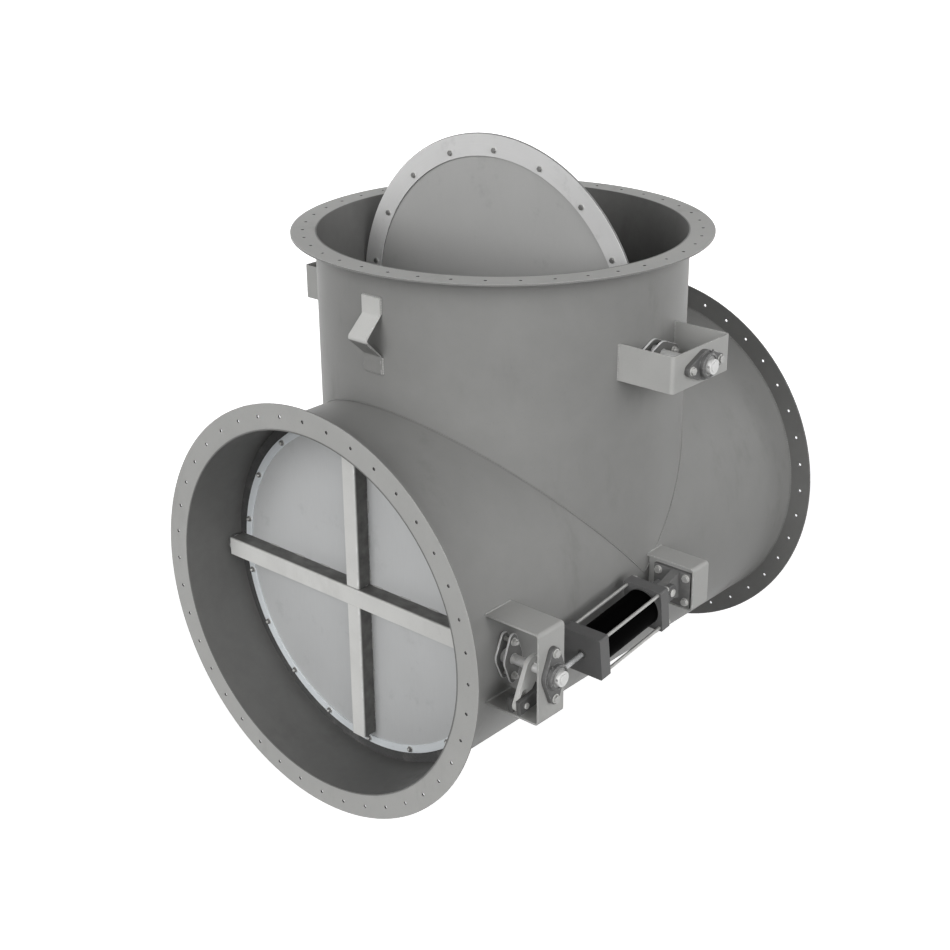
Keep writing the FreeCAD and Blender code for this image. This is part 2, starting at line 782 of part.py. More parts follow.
def rod_nut():
    back = -pin_reach + clevis_body
    start = V(0, back, 0)
    return nut(rod_nut_flats, piston_rod_radius + fit_clearance, start, start + V(0, rod_nut_height, 0))


def piston():
    start = front_cap_back + piston_end_room
    outer = barrel_radius - barrel_wall - piston_running_clearance
    return y_tube(outer, piston_rod_radius + fit_clearance, start, start + piston_length)


# Pivot bracket of the cylinder, in the frame of the duct


def cut_to_ducts(shape):
    """Cut away what would reach into the main duct or the branch's foot."""
    main = y_rod(duct_outer + weld_gap, face_y, 0)
    branch = rod(duct_outer + weld_gap, V(0, branch_y, 0), V(0, branch_y, bypass_height))
    return shape.cut(main).cut(branch)


def pivot_plate_front():
    return pivot_point()[0] + pivot_plate_offset


def pivot_strap():
    """Bent bracket on the duct that holds the pivot plate."""
    middle_y = pivot_plate_front() - 2 + pivot_strap_width / 2
    shape = bent_strip(duct_radius * 0.8, bracket_outer_x, pivot_strap_height, pivot_strap_width,
                       -pivot_strap_drop, middle_y)
    return cut_to_ducts(shape)


def pivot_web():
    """Upright plate welded into the bent bracket, with holes for the pivot plate's bolts."""
    y0 = pivot_plate_front() + pivot_plate_thickness
    y1 = y0 + pivot_web_thickness
    half = pivot_strap_height / 2 - bracket_thickness - weld_gap
    right = bracket_outer_x - bracket_thickness - bracket_bend
    web = block(duct_radius * 0.8, right, y0, y1, -pivot_strap_drop - half, -pivot_strap_drop + half)
    web = cut_to_ducts(web)
    for x, z in pivot_bolt_spots():
        web = web.cut(y_rod(pivot_bolt_radius + fit_clearance, y0, y1, x, z))
    return web


def pivot_plate_edges():
    """Left, right, lower and upper edge of the pivot plate."""
    lower = -pivot_strap_drop - pivot_strap_height / 2 + bracket_thickness + weld_gap
    right = min(lever_middle + pivot_plate_size / 2, bracket_outer_x - bracket_thickness - bracket_bend)
    return right - pivot_plate_size, right, lower, lower + pivot_plate_height


def pivot_bolt_spots():
    left, right, lower, upper = pivot_plate_edges()
    x_half = pivot_bolt_pitch / 2
    z_half = pivot_bolt_height_pitch / 2
    return [((left + right) / 2 + x * x_half, (lower + upper) / 2 + z * z_half)
            for x in (-1, 1) for z in (-1, 1)]


def pivot_bolts():
    """Bolts through the pivot plate and the web, each with a nut behind."""
    front = pivot_plate_front()
    back = front + pivot_plate_thickness + pivot_web_thickness
    pieces = []
    for x, z in pivot_bolt_spots():
        shank = y_rod(pivot_bolt_radius, front, back + pivot_bolt_height, x, z)
        head = hexagon(pivot_bolt_flats, V(x, front - pivot_bolt_height, z), V(x, front, z))
        end_nut = hexagon(pivot_bolt_flats, V(x, back, z), V(x, back + pivot_bolt_height, z))
        pieces.append(shank.fuse(head).fuse(end_nut).removeSplitter())
    return pieces


def pivot_plate():
    """Plate bolted on the web, with a tapered lug for the rear pin."""
    y0 = pivot_plate_front()
    y1 = y0 + pivot_plate_thickness
    plate = block(*pivot_plate_edges()[:2], y0, y1, *pivot_plate_edges()[2:])
    for x, z in pivot_bolt_spots():
        plate = plate.cut(y_rod(pivot_bolt_radius + fit_clearance, y0, y1, x, z))
    pivot = pivot_point()
    lug_half = pivot_lug_thickness / 2
    foot = pivot_plate_height / 2 - pivot_plate_thickness
    corners = [V(lever_middle - lug_half, y0, pivot[1] + foot),
               V(lever_middle - lug_half, pivot[0], pivot[1] + rear_eye_radius),
               V(lever_middle - lug_half, pivot[0], pivot[1] - rear_eye_radius),
               V(lever_middle - lug_half, y0, pivot[1] - foot)]
    lug = Part.Face(Part.makePolygon(corners + corners[:1])).extrude(V(pivot_lug_thickness, 0, 0))
    lug = lug.fuse(x_rod(rear_eye_radius, lever_middle - lug_half, lever_middle + lug_half, *pivot))
    shape = plate.fuse(lug)
    bore = rear_pin_radius + rod_running_clearance
    return shape.cut(x_rod(bore, lever_middle - lug_half, lever_middle + lug_half, *pivot)).removeSplitter()


def edges_through(shape, corners):
    """Edges along X that start or end at one of the points."""
    return [edge for edge in shape.Edges
            if is_straight_along(edge, X_AXIS)
            and any((vertex.Point - corner).Length < 1e-3 for vertex in edge.Vertexes for corner in corners)]


def lifting_strap():
    """Flat bar bent to a shallow V, its flat ends welded to the branch."""
    y0 = branch_y - duct_outer - weld_gap
    z2 = (duct_outer + bypass_height - flange_thickness) / 2 + strap_lift
    z1 = z2 - strap_rise
    z0 = z1 - strap_flat
    z3 = z2 + strap_rise
    z4 = z3 + strap_flat
    t = strap_thickness
    lean = math.hypot(strap_rise, strap_reach)
    shift = t * (lean - strap_reach) / strap_rise
    knee = t * lean / strap_rise
    outer_points = [V(0, y0 - t, z0), V(0, y0 - t, z1 + shift), V(0, y0 - strap_reach - knee, z2),
                    V(0, y0 - t, z3 - shift), V(0, y0 - t, z4)]
    inner_points = [V(0, y0, z4), V(0, y0, z3), V(0, y0 - strap_reach, z2), V(0, y0, z1), V(0, y0, z0)]
    points = outer_points + inner_points
    strip = Part.Face(Part.makePolygon(points + points[:1])).extrude(V(strap_width, 0, 0))
    wide_corners = [outer_points[2], inner_points[1], inner_points[3]]
    narrow_corners = [inner_points[2], outer_points[1], outer_points[3]]
    strip = strip.makeFillet(strap_bend + t, edges_through(strip, wide_corners))
    strip = strip.makeFillet(strap_bend, edges_through(strip, narrow_corners))
    return strip.translated(V(-strap_width / 2, 0, 0))


def write_ducts():
    save("main_duct", main_duct())
    save("branch_duct", branch_duct())
    save("common_flange", flange(V(0, 0, 0), Y_AXIS))
    save("face_flange", flange(V(0, face_y, 0), -Y_AXIS))
    save("bypass_flange", flange(V(0, branch_y, bypass_height), Z_AXIS))
    save("lifting_strap", lifting_strap())


def write_station(name, station):
    """Brackets, glands and bearings at both ends of one shaft."""
    bracket = bearing_bracket()
    housing = bearing_housing()
    box = gland_box()
    follower = gland_follower()
    save(name + "_bracket_right", placed(bracket, station))
    save(name + "_bracket_left", placed(mirrored(bracket), station))
    save(name + "_bearing_right", placed(housing, station))
    save(name + "_bearing_left", placed(mirrored(housing), station))
    save(name + "_gland_boxes", placed(box, station), placed(mirrored(box), station))
    save(name + "_gland_followers", placed(follower, station), placed(mirrored(follower), station))


def write_small_pieces():
    """Pieces that repeat at all four shaft ends, one node for each kind."""
    kinds = {"packing_rings": gland_packing(), "gland_studs": gland_studs(),
             "bearing_inserts": [bearing_insert()], "bearing_bolts": bearing_bolts()}
    for node, pieces in kinds.items():
        save(node, *[placed(piece, station) for station in (face_station, bypass_station)
                     for piece in both_sides(pieces)])


def write_blade(name, place, right_shaft, left_shaft):
    """The plates, seal, beam, bolts and shaft ends of one blade."""
    save(name + "_beam", placed(blade_beam(), place))
    save(name + "_stiffeners", placed(blade_stiffener(1), place), placed(blade_stiffener(-1), place))
    save(name + "_plate", placed(blade_plate(), place))
    save(name + "_clamp_ring", *[placed(half, place) for half in blade_clamp_ring()])
    save(name + "_seal", placed(blade_seal(), place))
    save(name + "_seal_ring", placed(blade_seal_ring(), place))
    save(name + "_blade_bolts", *[placed(piece, place) for piece in blade_bolt_heads()])
    save(name + "_shaft_right", placed(right_shaft, place))
    save(name + "_shaft_left", placed(left_shaft, place))
    rings = both_sides([bearing_inner_ring()])
    save(name + "_bearing_inner_rings", *[placed(ring, place) for ring in rings])


def write_drive():
    """Lever, rod, air cylinder and the pivot bracket that holds it."""
    place = cylinder_placement()
    save("lever", placed(lever(), face_station))
    save("lever_key", placed(key_block(lever_middle, 0.0), face_station))
    save("front_cap", placed(front_cap(), place))
    save("rear_cap", placed(rear_cap(), place))
    save("barrel", placed(barrel(), place))
    save("tie_rods", *[placed(piece, place) for piece in tie_rods()])
    save("rod_bush", placed(rod_bush(), place))
    save("rear_clevis", placed(rear_clevis(), place))
    save("rear_pin", placed(rear_pin(), place))
    save("rod_clevis", placed(rod_clevis(), place))
    save("clevis_pin", placed(clevis_pin(), place))
    save("piston_rod", placed(piston_rod(), place))
    save("rod_nut", placed(rod_nut(), place))
    save("piston", placed(piston(), place))
    save("pivot_strap", pivot_strap())
    save("pivot_web", pivot_web())
    save("pivot_plate", pivot_plate())
    save("pivot_bolts", *pivot_bolts())


def print_motion():
    """The figures that the joints of the drive take."""
    pivot = pivot_point()
    near, far, half = slot_size()
    print("face shaft y %.3f" % face_shaft_y)
    print("bypass shaft y %.3f z %.3f" % (branch_y, bypass_shaft_z))
    print("rear pin y %.3f z %.3f" % pivot)
    tilt = math.radians(rest_tilt)
    stroke_ratio = piston_stroke / 1000 / math.radians(blade_travel)
    print("rest tilt %.5f deg, swing %.5f deg" % (rest_tilt, cylinder_swing))
    print("swing ratio %.7f" % (cylinder_swing / blade_travel))
    print("stroke %.4f mm, ratio %.7f m/rad" % (piston_stroke, stroke_ratio))
    print("slide axis y %.7f z %.7f" % (math.cos(tilt), math.sin(tilt)))
    print("slot from %.2f to %.2f mm, half width %.2f mm" % (near, far, half))
    print("seal radius %.3f mm" % seal_radius)


os.makedirs("parts", exist_ok=True)
write_ducts()
write_station("face", face_station)
write_station("bypass", bypass_station)
write_small_pieces()
write_blade("face", face_station, lever_shaft_end(), mirrored(plain_shaft_end()))
write_blade("bypass", bypass_open, plain_shaft_end(), mirrored(drive_shaft_end()))
write_drive()
print_motion()
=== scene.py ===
# %% [markdown]
# # A face and bypass damper
#
# Two round ducts of grey coated sheet steel meet in a tee. A round blade closes the
# face port, another stands open in the bypass port on top, and an air cylinder on the
# side turns the face blade through a lever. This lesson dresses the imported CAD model:
# it gives each piece rounded edges, welds, bolts and a finish that is made of nodes.
#
# The model is loaded first. Everything after this line is placed by asking it where
# its nodes are, so nothing has to be fitted by eye.

import json
import math

import bmesh
import bpy
from mathutils import Matrix, Vector


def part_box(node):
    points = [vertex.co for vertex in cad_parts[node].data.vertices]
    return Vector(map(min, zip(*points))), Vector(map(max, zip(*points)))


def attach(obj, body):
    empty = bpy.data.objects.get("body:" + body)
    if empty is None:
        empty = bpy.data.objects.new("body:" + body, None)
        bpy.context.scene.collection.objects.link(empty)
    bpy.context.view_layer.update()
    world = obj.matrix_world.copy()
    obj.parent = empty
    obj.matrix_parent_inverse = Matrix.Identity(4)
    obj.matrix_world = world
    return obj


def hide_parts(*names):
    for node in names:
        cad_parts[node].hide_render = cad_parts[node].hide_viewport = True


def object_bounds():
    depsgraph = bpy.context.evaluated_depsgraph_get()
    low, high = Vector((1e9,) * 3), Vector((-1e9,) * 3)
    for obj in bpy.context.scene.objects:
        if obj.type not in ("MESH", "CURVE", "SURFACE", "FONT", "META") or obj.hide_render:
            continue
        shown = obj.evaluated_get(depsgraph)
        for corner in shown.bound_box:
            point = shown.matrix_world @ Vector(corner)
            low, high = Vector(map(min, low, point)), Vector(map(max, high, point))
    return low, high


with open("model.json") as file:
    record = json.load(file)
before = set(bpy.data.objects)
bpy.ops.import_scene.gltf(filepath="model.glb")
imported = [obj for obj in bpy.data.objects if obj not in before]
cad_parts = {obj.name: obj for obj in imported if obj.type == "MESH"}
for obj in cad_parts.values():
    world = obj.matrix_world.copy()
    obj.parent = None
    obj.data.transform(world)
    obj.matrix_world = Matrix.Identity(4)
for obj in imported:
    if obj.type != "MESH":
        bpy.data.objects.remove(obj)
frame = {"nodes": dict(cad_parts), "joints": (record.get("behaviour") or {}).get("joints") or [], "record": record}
cad_box = [list(corner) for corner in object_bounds()]
joint_at = {joint["name"]: Vector(joint["pos_m"]) for joint in frame["joints"] if "pos_m" in joint}
face_axis = joint_at["face_shaft"]
bypass_axis = joint_at["bypass_shaft"]
ports = ("face", "bypass")
sides = {"right": 1, "left": -1}


# %% [markdown]
# ## The camera
#
# The picture was taken with a moderate lens from the right front and above. The camera
# is given by three unit vectors: where its right side, its top and its back point. With
# the place beside them they make the whole matrix, which saves turning it by angles.

# %% Camera
camera_place = Vector((2.7869, -4.0362, 1.9760))
camera_right = Vector((0.75175, 0.65940, -0.00786))
camera_up = Vector((-0.25221, 0.29850, 0.92048))
camera_back = Vector((0.60931, -0.68999, 0.39071))
lens_mm = 61.655

camera = bpy.data.objects.new("camera", bpy.data.cameras.new("camera"))
bpy.context.collection.objects.link(camera)
camera.data.sensor_width = 36.0
camera.data.lens = lens_mm
turned = Matrix((camera_right, camera_up, camera_back)).transposed().to_4x4()
camera.matrix_world = Matrix.Translation(camera_place) @ turned
bpy.context.scene.camera = camera
print("camera", [round(v, 3) for v in camera_place])


# %% [markdown]
# ## Writing shader maths as sums
#
# A finish is a tree of small nodes, and most of them only add or multiply numbers.
# `Value` wraps a node's output and overloads the operators, so that `1 - mask * 0.4`
# adds the two Math nodes by itself. `Finish` owns one material, and its `node` method
# makes any other node from its type, its settings and what goes into its sockets.

# %% The two shader classes
class Value:
    """A number or colour that changes over a surface."""

    def __init__(self, finish, socket):
        self.finish = finish
        self.socket = socket

    def _maths(self, operation, first, second):
        return self.finish.node("ShaderNodeMath", {"operation": operation}, {0: first, 1: second})

    def __add__(self, other):
        return self._maths("ADD", self, other)

    def __sub__(self, other):
        return self._maths("SUBTRACT", self, other)

    def __rsub__(self, other):
        return self._maths("SUBTRACT", other, self)

    def __mul__(self, other):
        return self._maths("MULTIPLY", self, other)

    def __pow__(self, other):
        return self._maths("POWER", self, other)

    __radd__ = __add__
    __rmul__ = __mul__

    def least(self, other):
        return self._maths("MINIMUM", self, other)

    def most(self, other):
        return self._maths("MAXIMUM", self, other)

    def step(self, low, high):
        """0 below low, 1 above high, and a soft slope between them."""
        return self.finish.node("ShaderNodeMapRange", {"interpolation_type": "SMOOTHSTEP"},
                                {"Value": self, "From Min": low, "From Max": high})


class Finish:
    """The nodes of one material, or of the world, from the surface point to the output."""

    def __init__(self, name, owner=None, output="ShaderNodeOutputMaterial"):
        self.owner = owner or bpy.data.materials.new(name)
        self.owner.use_nodes = True
        self.tree = self.owner.node_tree
        self.tree.nodes.clear()
        self.output = self.tree.nodes.new(output)
        self.place = None if owner else self.node("ShaderNodeTexCoord", out="Object")

    def node(self, kind, settings=None, inputs=None, out=0):
        made = self.tree.nodes.new(kind)
        for key, value in (settings or {}).items():
            setattr(made, key, value)
        for key, value in (inputs or {}).items():
            if isinstance(value, Value):
                self.tree.links.new(value.socket, made.inputs[key])
            else:
                made.inputs[key].default_value = value
        return Value(self, made.outputs[out])

    def noise(self, scale, detail=4.0, roughness=0.55, stretch=None, place=None):
        """Soft random values, about 0.5 on average. Stretch divides the size along each axis."""
        place = place or self.place
        if stretch:
            place = self.node("ShaderNodeVectorMath", {"operation": "MULTIPLY"}, {0: place, 1: stretch})
        return self.node("ShaderNodeTexNoise", {}, {"Vector": place, "Scale": scale, "Detail": detail,
                                                    "Roughness": roughness})

    def blend(self, mask, below, above):
        """One colour over another by a mask."""
        return self.node("ShaderNodeMix", {"data_type": "RGBA"}, {0: mask, 6: below, 7: above}, out=2)

    def part(self, axis):
        """X, Y or Z of the surface point, in metres."""
        return self.node("ShaderNodeSeparateXYZ", {}, {0: self.place}, out=axis)

    def attribute(self, name):
        """A number that the mesh itself carries."""
        return self.node("ShaderNodeAttribute", {"attribute_name": name}, out="Fac")

    def bump(self, height, distance, strength=1.0, below=None):
        inputs = {"Height": height, "Distance": distance, "Strength": strength}
        if below:
            inputs["Normal"] = below
        return self.node("ShaderNodeBump", {}, inputs)

    def surface(self, colour, roughness, metallic=0.0, normal=None, **constants):
        """Joins the values to a Principled shader and ends the material."""
        inputs = {"Base Color": colour, "Roughness": roughness, "Metallic": metallic}
        if normal:
            inputs["Normal"] = normal
        for key, value in constants.items():
            inputs[key.replace("_", " ").title().replace("Ior", "IOR")] = value
        return self.ends_in(self.node("ShaderNodeBsdfPrincipled", {}, inputs))

    def ends_in(self, shader):
        """Joins the last shader to the output."""
        self.tree.links.new(shader.socket, self.output.inputs["Surface"])
        print("finish", self.owner.name, len(self.tree.nodes), "nodes")
        return self.owner


neutral = (1.0, 1.0, 1.0)
coat_tint = (1.0, 1.0, 0.975)
dirt_tint = (1.0, 0.99, 0.95)
dust_tint = (1.0, 0.97, 0.92)
oil_tint = (1.0, 0.95, 0.86)


def grey(level, tint=neutral):
    """A screen grey from 0 to 255, as the linear colour that a shader takes."""
    share = level / 255
    linear = share / 12.92 if share <= 0.04045 else ((share + 0.055) / 1.055) ** 2.4
    return (linear * tint[0], linear * tint[1], linear * tint[2], 1.0)


# %% [markdown]
# ## Coated sheet steel
#
# Ducts, flanges and brackets carry the same grey industrial coat. Sprayed paint has
# three scales of detail: a broad unevenness where the coat is thicker, a fine orange
# peel that only shows in the gloss, and chips on edges where the primer shows. The
# `edge` attribute is written on the rounded edges of each mesh further down. Painted
# shade darkens the insides of the ducts, the sides of the blade beams behind their
# fronts and the lower half of the lifting strap: a small function says where, from 0
# to 1, and a number how dark it is painted. `rim` is the grey of rims and hole walls,
# which the mesh marks by its `rim` attribute: painted shade on the flanges, and a
# painted highlight on the gland plates.

# %% Coated steel
def coated_steel(name, level, tint=coat_tint, gloss=0.46, chips=0.6, wear=(0.5, 0.62),
                 bare=None, rim=None, painted_shade=None, shade_strength=0.86):
    finish = Finish(name)
    broad = finish.noise(2.2, 3.0, 0.6)
    cloud = finish.noise(11.0, 5.0, 0.6)
    grain = finish.noise(240.0, 3.0, 0.6)
    peel = finish.noise(900.0, 2.0, 0.5)
    smudge = finish.noise(6.0, 6.0, 0.7, stretch=(1.0, 1.0, 0.35)).step(0.53, 0.74)
    speck = finish.noise(420.0, 1.0, 0.5).step(0.735, 0.765)
    coat = finish.blend(broad * 0.5 + cloud * 0.5, grey(level * 0.92, tint), grey(level * 1.075, tint))
    coat = finish.blend(smudge * 0.22, coat, grey(level * 0.72, dust_tint))
    coat = finish.blend(speck * 0.35, coat, grey(level * 0.6))
    # Painted shade, in a darker grey with a dirt tint, where the mask says.
    if painted_shade:
        shaded = painted_shade(finish) * (finish.noise(30.0, 5.0, 0.6) * 0.3 + 0.85)
        coat = finish.blend(shaded * shade_strength, coat, grey(level * 0.38, dirt_tint))
    chipped = finish.attribute("edge") * finish.noise(95.0, 4.0, 0.7).step(*wear)
    coat = finish.blend(chipped * chips, coat, grey(bare or min(level * 1.35, 225)))
    rough = gloss + (cloud - 0.5) * 0.16 + smudge * 0.12 + grain * 0.04 - chipped * 0.12
    # The rim grey is painted shade on the flanges and a painted highlight on the gland plates.
    if rim:
        coat = finish.blend(finish.attribute("rim") * (cloud * 0.3 + 0.85), coat, grey(rim))
    relief = finish.bump(peel, 0.00012, 0.35)
    relief = finish.bump(grain, 0.0002, 0.25, relief)
    relief = finish.bump(broad, 0.004, 0.25, relief)
    return finish.surface(coat, rough, normal=relief, metallic=chipped * 0.5, specular_ior_level=0.16)


strap_low, strap_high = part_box("lifting_strap")
strap_knee = (strap_low.z + strap_high.z) / 2


def shade_below_knee(finish):
    """1 on the lower half of the lifting strap, where painted shade darkens the coat."""
    return finish.part("Z").step(strap_knee - 0.003, strap_knee - 0.007)


flange_coat = coated_steel("flange_coat", 167, chips=0.25, rim=50)
# Painted shade: the same coat as the other flanges, painted darker where the ducts shade it.
common_flange_shaded_coat = coated_steel("common_flange_shaded_coat", 122, chips=0.25, rim=50)
bracket_coat = coated_steel("bracket_coat", 166)
# Painted shade on the lower half of the lifting strap.
strap_coat = coated_steel("strap_coat", 190, painted_shade=shade_below_knee, shade_strength=0.66)
lever_coat = coated_steel("lever_coat", 196)
# Its many edge chips are partly wear and partly a painted highlight along the cap's edges.
cap_coat = coated_steel("cap_coat", 98, tint=neutral, gloss=0.42, chips=0.8)
# Painted highlight: most rounded edges and the outer plate rims are painted bright, partly wear.
gland_coat = coated_steel("gland_coat", 96, chips=0.95, wear=(0.34, 0.46), bare=222, rim=228)


# %% [markdown]
# ## Bare steel
#
# The blade plates are mill-finish sheet with a faint rolling grain, and the seal rings
# are stainless and turned, so their scratches run round the centre. For those the
# pattern is read on a radius and an angle, not on X, Y and Z.

# %% Sheet steel and turned rings
def sheet_steel(name, level, tint):
    finish = Finish(name)
    rolled = finish.noise(60.0, 4.0, 0.6, stretch=(14.0, 14.0, 0.35))
    broad = finish.noise(3.0, 4.0, 0.6)
    stain = finish.noise(9.0, 6.0, 0.72).step(0.55, 0.72)
    plate = finish.blend(broad * 0.6 + rolled * 0.4, grey(level * 0.93, tint), grey(level * 1.07, tint))
    plate = finish.blend(stain * 0.25, plate, grey(level * 0.78, tint))
    worn = finish.attribute("edge") * finish.noise(90.0, 3.0, 0.6).step(0.42, 0.6)
    plate = finish.blend(worn * 0.5, plate, grey(min(level * 1.2, 235)))
    rough = 0.5 + (rolled - 0.5) * 0.18 + stain * 0.12
    relief = finish.bump(rolled, 0.0002, 0.2)
    relief = finish.bump(broad, 0.003, 0.2, relief)
    return finish.surface(plate, rough, normal=relief, metallic=0.12, specular_ior_level=0.3)


def turned_ring(name, centre, level, tint):
    """Round brushing about a centre. The ring lies across Y."""
    finish = Finish(name)
    shifted = finish.node("ShaderNodeVectorMath", {"operation": "SUBTRACT"}, {0: finish.place, 1: centre})
    x = finish.node("ShaderNodeSeparateXYZ", {}, {0: shifted}, out="X")
    z = finish.node("ShaderNodeSeparateXYZ", {}, {0: shifted}, out="Z")
    radius = (x * x + z * z) ** 0.5
    angle = finish.node("ShaderNodeMath", {"operation": "ARCTAN2"}, {0: z, 1: x})
    polar = finish.node("ShaderNodeCombineXYZ", {}, {"X": radius * 900.0, "Y": angle * 1.5})
    brushed = finish.noise(1.0, 4.0, 0.6, place=polar)
    broad = finish.noise(7.0, 4.0, 0.6)
    mark = finish.noise(26.0, 5.0, 0.7).step(0.56, 0.7)
    bare = finish.blend(brushed * 0.5 + broad * 0.5, grey(level * 0.92, tint), grey(level * 1.07, tint))
    bare = finish.blend(mark * 0.16, bare, grey(level * 0.75, tint))
    rough = 0.42 + (brushed - 0.5) * 0.2 + mark * 0.15
    relief = finish.bump(brushed, 0.00012, 0.25)
    return finish.surface(bare, rough, normal=relief, metallic=0.15)


face_plate_steel = sheet_steel("face_plate_steel", 184, (0.985, 1.0, 1.005))
bypass_plate_steel = sheet_steel("bypass_plate_steel", 166, (1.0, 1.0, 0.985))
face_ring_steel = turned_ring("face_ring_steel", face_axis, 222, (0.955, 1.0, 1.03))
bypass_ring_steel = turned_ring("bypass_ring_steel", bypass_axis, 202, (1.0, 1.0, 0.995))


# %% [markdown]
# ## Machined steel and zinc
#
# Small pieces are told apart by how they shine. Shafts and the rod are smooth with a
# little oil on them, and the zinc on bolts is soft and cloudy.

# %% Machined steel and zinc
def machined_steel(name, level, gloss, metal, tint=(1.0, 1.0, 0.99)):
    finish = Finish(name)
    turned = finish.noise(900.0, 3.0, 0.6, stretch=(1.0, 0.15, 0.15))
    cloud = finish.noise(35.0, 5.0, 0.65)
    oil = finish.noise(18.0, 5.0, 0.7).step(0.55, 0.7)
    metal_colour = finish.blend(turned * 0.4 + cloud * 0.6, grey(level * 0.88, tint), grey(level * 1.08, tint))
    metal_colour = finish.blend(oil * 0.3, metal_colour, grey(level * 0.6, oil_tint))
    rough = gloss + (turned - 0.5) * 0.15 + oil * 0.12
    relief = finish.bump(turned, 0.00008, 0.3)
    return finish.surface(metal_colour, rough, normal=relief, metallic=metal)


def zinc_plate(name, level):
    finish = Finish(name)
    cloud = finish.noise(70.0, 5.0, 0.65)
    spangle = finish.noise(380.0, 2.0, 0.5)
    dull = finish.noise(45.0, 5.0, 0.7).step(0.5, 0.68)
    coat = finish.blend(cloud, grey(level * 0.85, dirt_tint), grey(level * 1.1, (1.0, 1.0, 0.98)))
    coat = finish.blend(dull * 0.3, coat, grey(level * 0.62, (1.0, 0.97, 0.9)))
    worn = finish.attribute("edge") * finish.noise(300.0, 3.0, 0.6).step(0.4, 0.6)
    coat = finish.blend(worn * 0.5, coat, grey(min(level * 1.2, 225)))
    rough = 0.36 + (spangle - 0.5) * 0.14 + dull * 0.16
    relief = finish.bump(spangle, 0.00015, 0.3)
    return finish.surface(coat, rough, normal=relief, metallic=0.4)


shaft_steel = machined_steel("shaft_steel", 212, 0.4, 0.25)
ring_steel = machined_steel("ring_steel", 212, 0.42, 0.2)
insert_steel = machined_steel("insert_steel", 140, 0.42, 0.3)
rod_chrome = machined_steel("rod_chrome", 190, 0.26, 0.4, (0.99, 1.0, 1.01))
clevis_steel = machined_steel("clevis_steel", 86, 0.45, 0.3)
bronze = machined_steel("bronze", 98, 0.45, 0.4, oil_tint)
zinc = zinc_plate("zinc", 192)
bolt_zinc = zinc_plate("bolt_zinc", 168)
blade_zinc = zinc_plate("blade_zinc", 112)
rod_zinc = zinc_plate("rod_zinc", 170)


# %% [markdown]
# ## Two finishes on one piece
#
# A gland follower is bright on the sleeve that runs in the packing, with dirt on the plate
# outside, and a painted highlight, partly wear, along the plate's edges. All three come from
# where the point lies: its distance along the shaft, and the marks in the mesh.

# %% Gland followers
def follower_finish(name, plate_from):
    """The plate begins at this distance from the middle of the damper."""
    finish = Finish(name)
    turned = finish.noise(700.0, 3.0, 0.6, stretch=(1.0, 0.15, 0.15))
    cloud = finish.noise(45.0, 5.0, 0.65)
    across = finish.part("X")
    on_plate = across.most(across * -1.0).step(plate_from - 0.001, plate_from - 0.0002)
    cold = (0.98, 1.0, 1.03)
    sleeve = finish.blend(turned * 0.5 + cloud * 0.5, grey(212, cold), grey(240, cold))
    dirt = finish.blend(cloud, grey(84, dirt_tint), grey(118, (1.0, 1.0, 0.98)))
    colour = finish.blend(on_plate, sleeve, dirt)
    # Painted highlight along the plate's rims, with wear on its rounded edges.
    worn = finish.attribute("edge") * finish.noise(95.0, 4.0, 0.7).step(0.34, 0.46)
    worn = worn.most(finish.attribute("rim"))
    colour = finish.blend(worn * 0.95, colour, grey(228))
    relief = finish.bump(turned * 0.4 + cloud * 0.6, 0.0003, 0.3)
    return finish.surface(colour, 0.42 + on_plate * 0.14 - worn * 0.1, normal=relief, metallic=0.1)


# %% [markdown]
# ## Iron, rubber and enamel
#
# Castings are dark and grainy, with the grain of the sand in their skin. Rubber and yarn
# hardly shine, and the enamel of the barrel is a black that only dust makes visible.

# %% Iron, rubber and enamel
def cast_iron(name, level):
    tint = (1.0, 1.0, 0.99)
    finish = Finish(name)
    sand = finish.noise(520.0, 5.0, 0.75)
    lump = finish.noise(60.0, 4.0, 0.6)
    dust = finish.noise(14.0, 5.0, 0.7).step(0.5, 0.7)
    iron = finish.blend(sand * 0.4 + lump * 0.6, grey(level * 0.84, tint), grey(level * 1.12, tint))
    iron = finish.blend(dust * 0.22, iron, grey(level * 1.4, (1.0, 0.96, 0.88)))
    worn = finish.attribute("edge") * finish.noise(160.0, 3.0, 0.6).step(0.46, 0.6)
    iron = finish.blend(worn * 0.45, iron, grey(level * 1.7))
    rough = 0.58 + (sand - 0.5) * 0.22 - worn * 0.15
    relief = finish.bump(sand, 0.0006, 0.5)
    relief = finish.bump(lump, 0.0015, 0.35, relief)
    return finish.surface(iron, rough, normal=relief, metallic=0.15)


def soft_black(name, level, gloss, scale):
    """Rubber and packing: dull, a little dusty, with a skin of a given fineness."""
    finish = Finish(name)
    skin = finish.noise(scale, 4.0, 0.6)
    dust = finish.noise(24.0, 5.0, 0.7).step(0.48, 0.72)
    black = finish.blend(skin, grey(level * 0.8), grey(level * 1.25))
    black = finish.blend(dust * 0.25, black, grey(min(level * 2.0, 190), (1.0, 0.97, 0.93)))
    relief = finish.bump(skin, 0.0003, 0.4)
    return finish.surface(black, gloss + dust * 0.1, normal=relief, specular_ior_level=0.25)


def black_enamel(name, level):
    """Black stoved enamel on the barrel, with dust and fine rubbed marks."""
    finish = Finish(name)
    peel = finish.noise(260.0, 3.0, 0.55)
    rub = finish.noise(40.0, 4.0, 0.65, stretch=(1.0, 0.12, 1.0)).step(0.6, 0.75)
    dust = finish.noise(12.0, 6.0, 0.7).step(0.5, 0.75)
    black = finish.blend(peel, grey(level * 0.8), grey(level * 1.3))
    black = finish.blend(dust * 0.1, black, grey(level * 3.0, (1.0, 0.98, 0.95)))
    rough = 0.5 + rub * 0.18 + dust * 0.15
    relief = finish.bump(peel, 0.0002, 0.2)
    return finish.surface(black, rough, normal=relief, specular_ior_level=0.005)


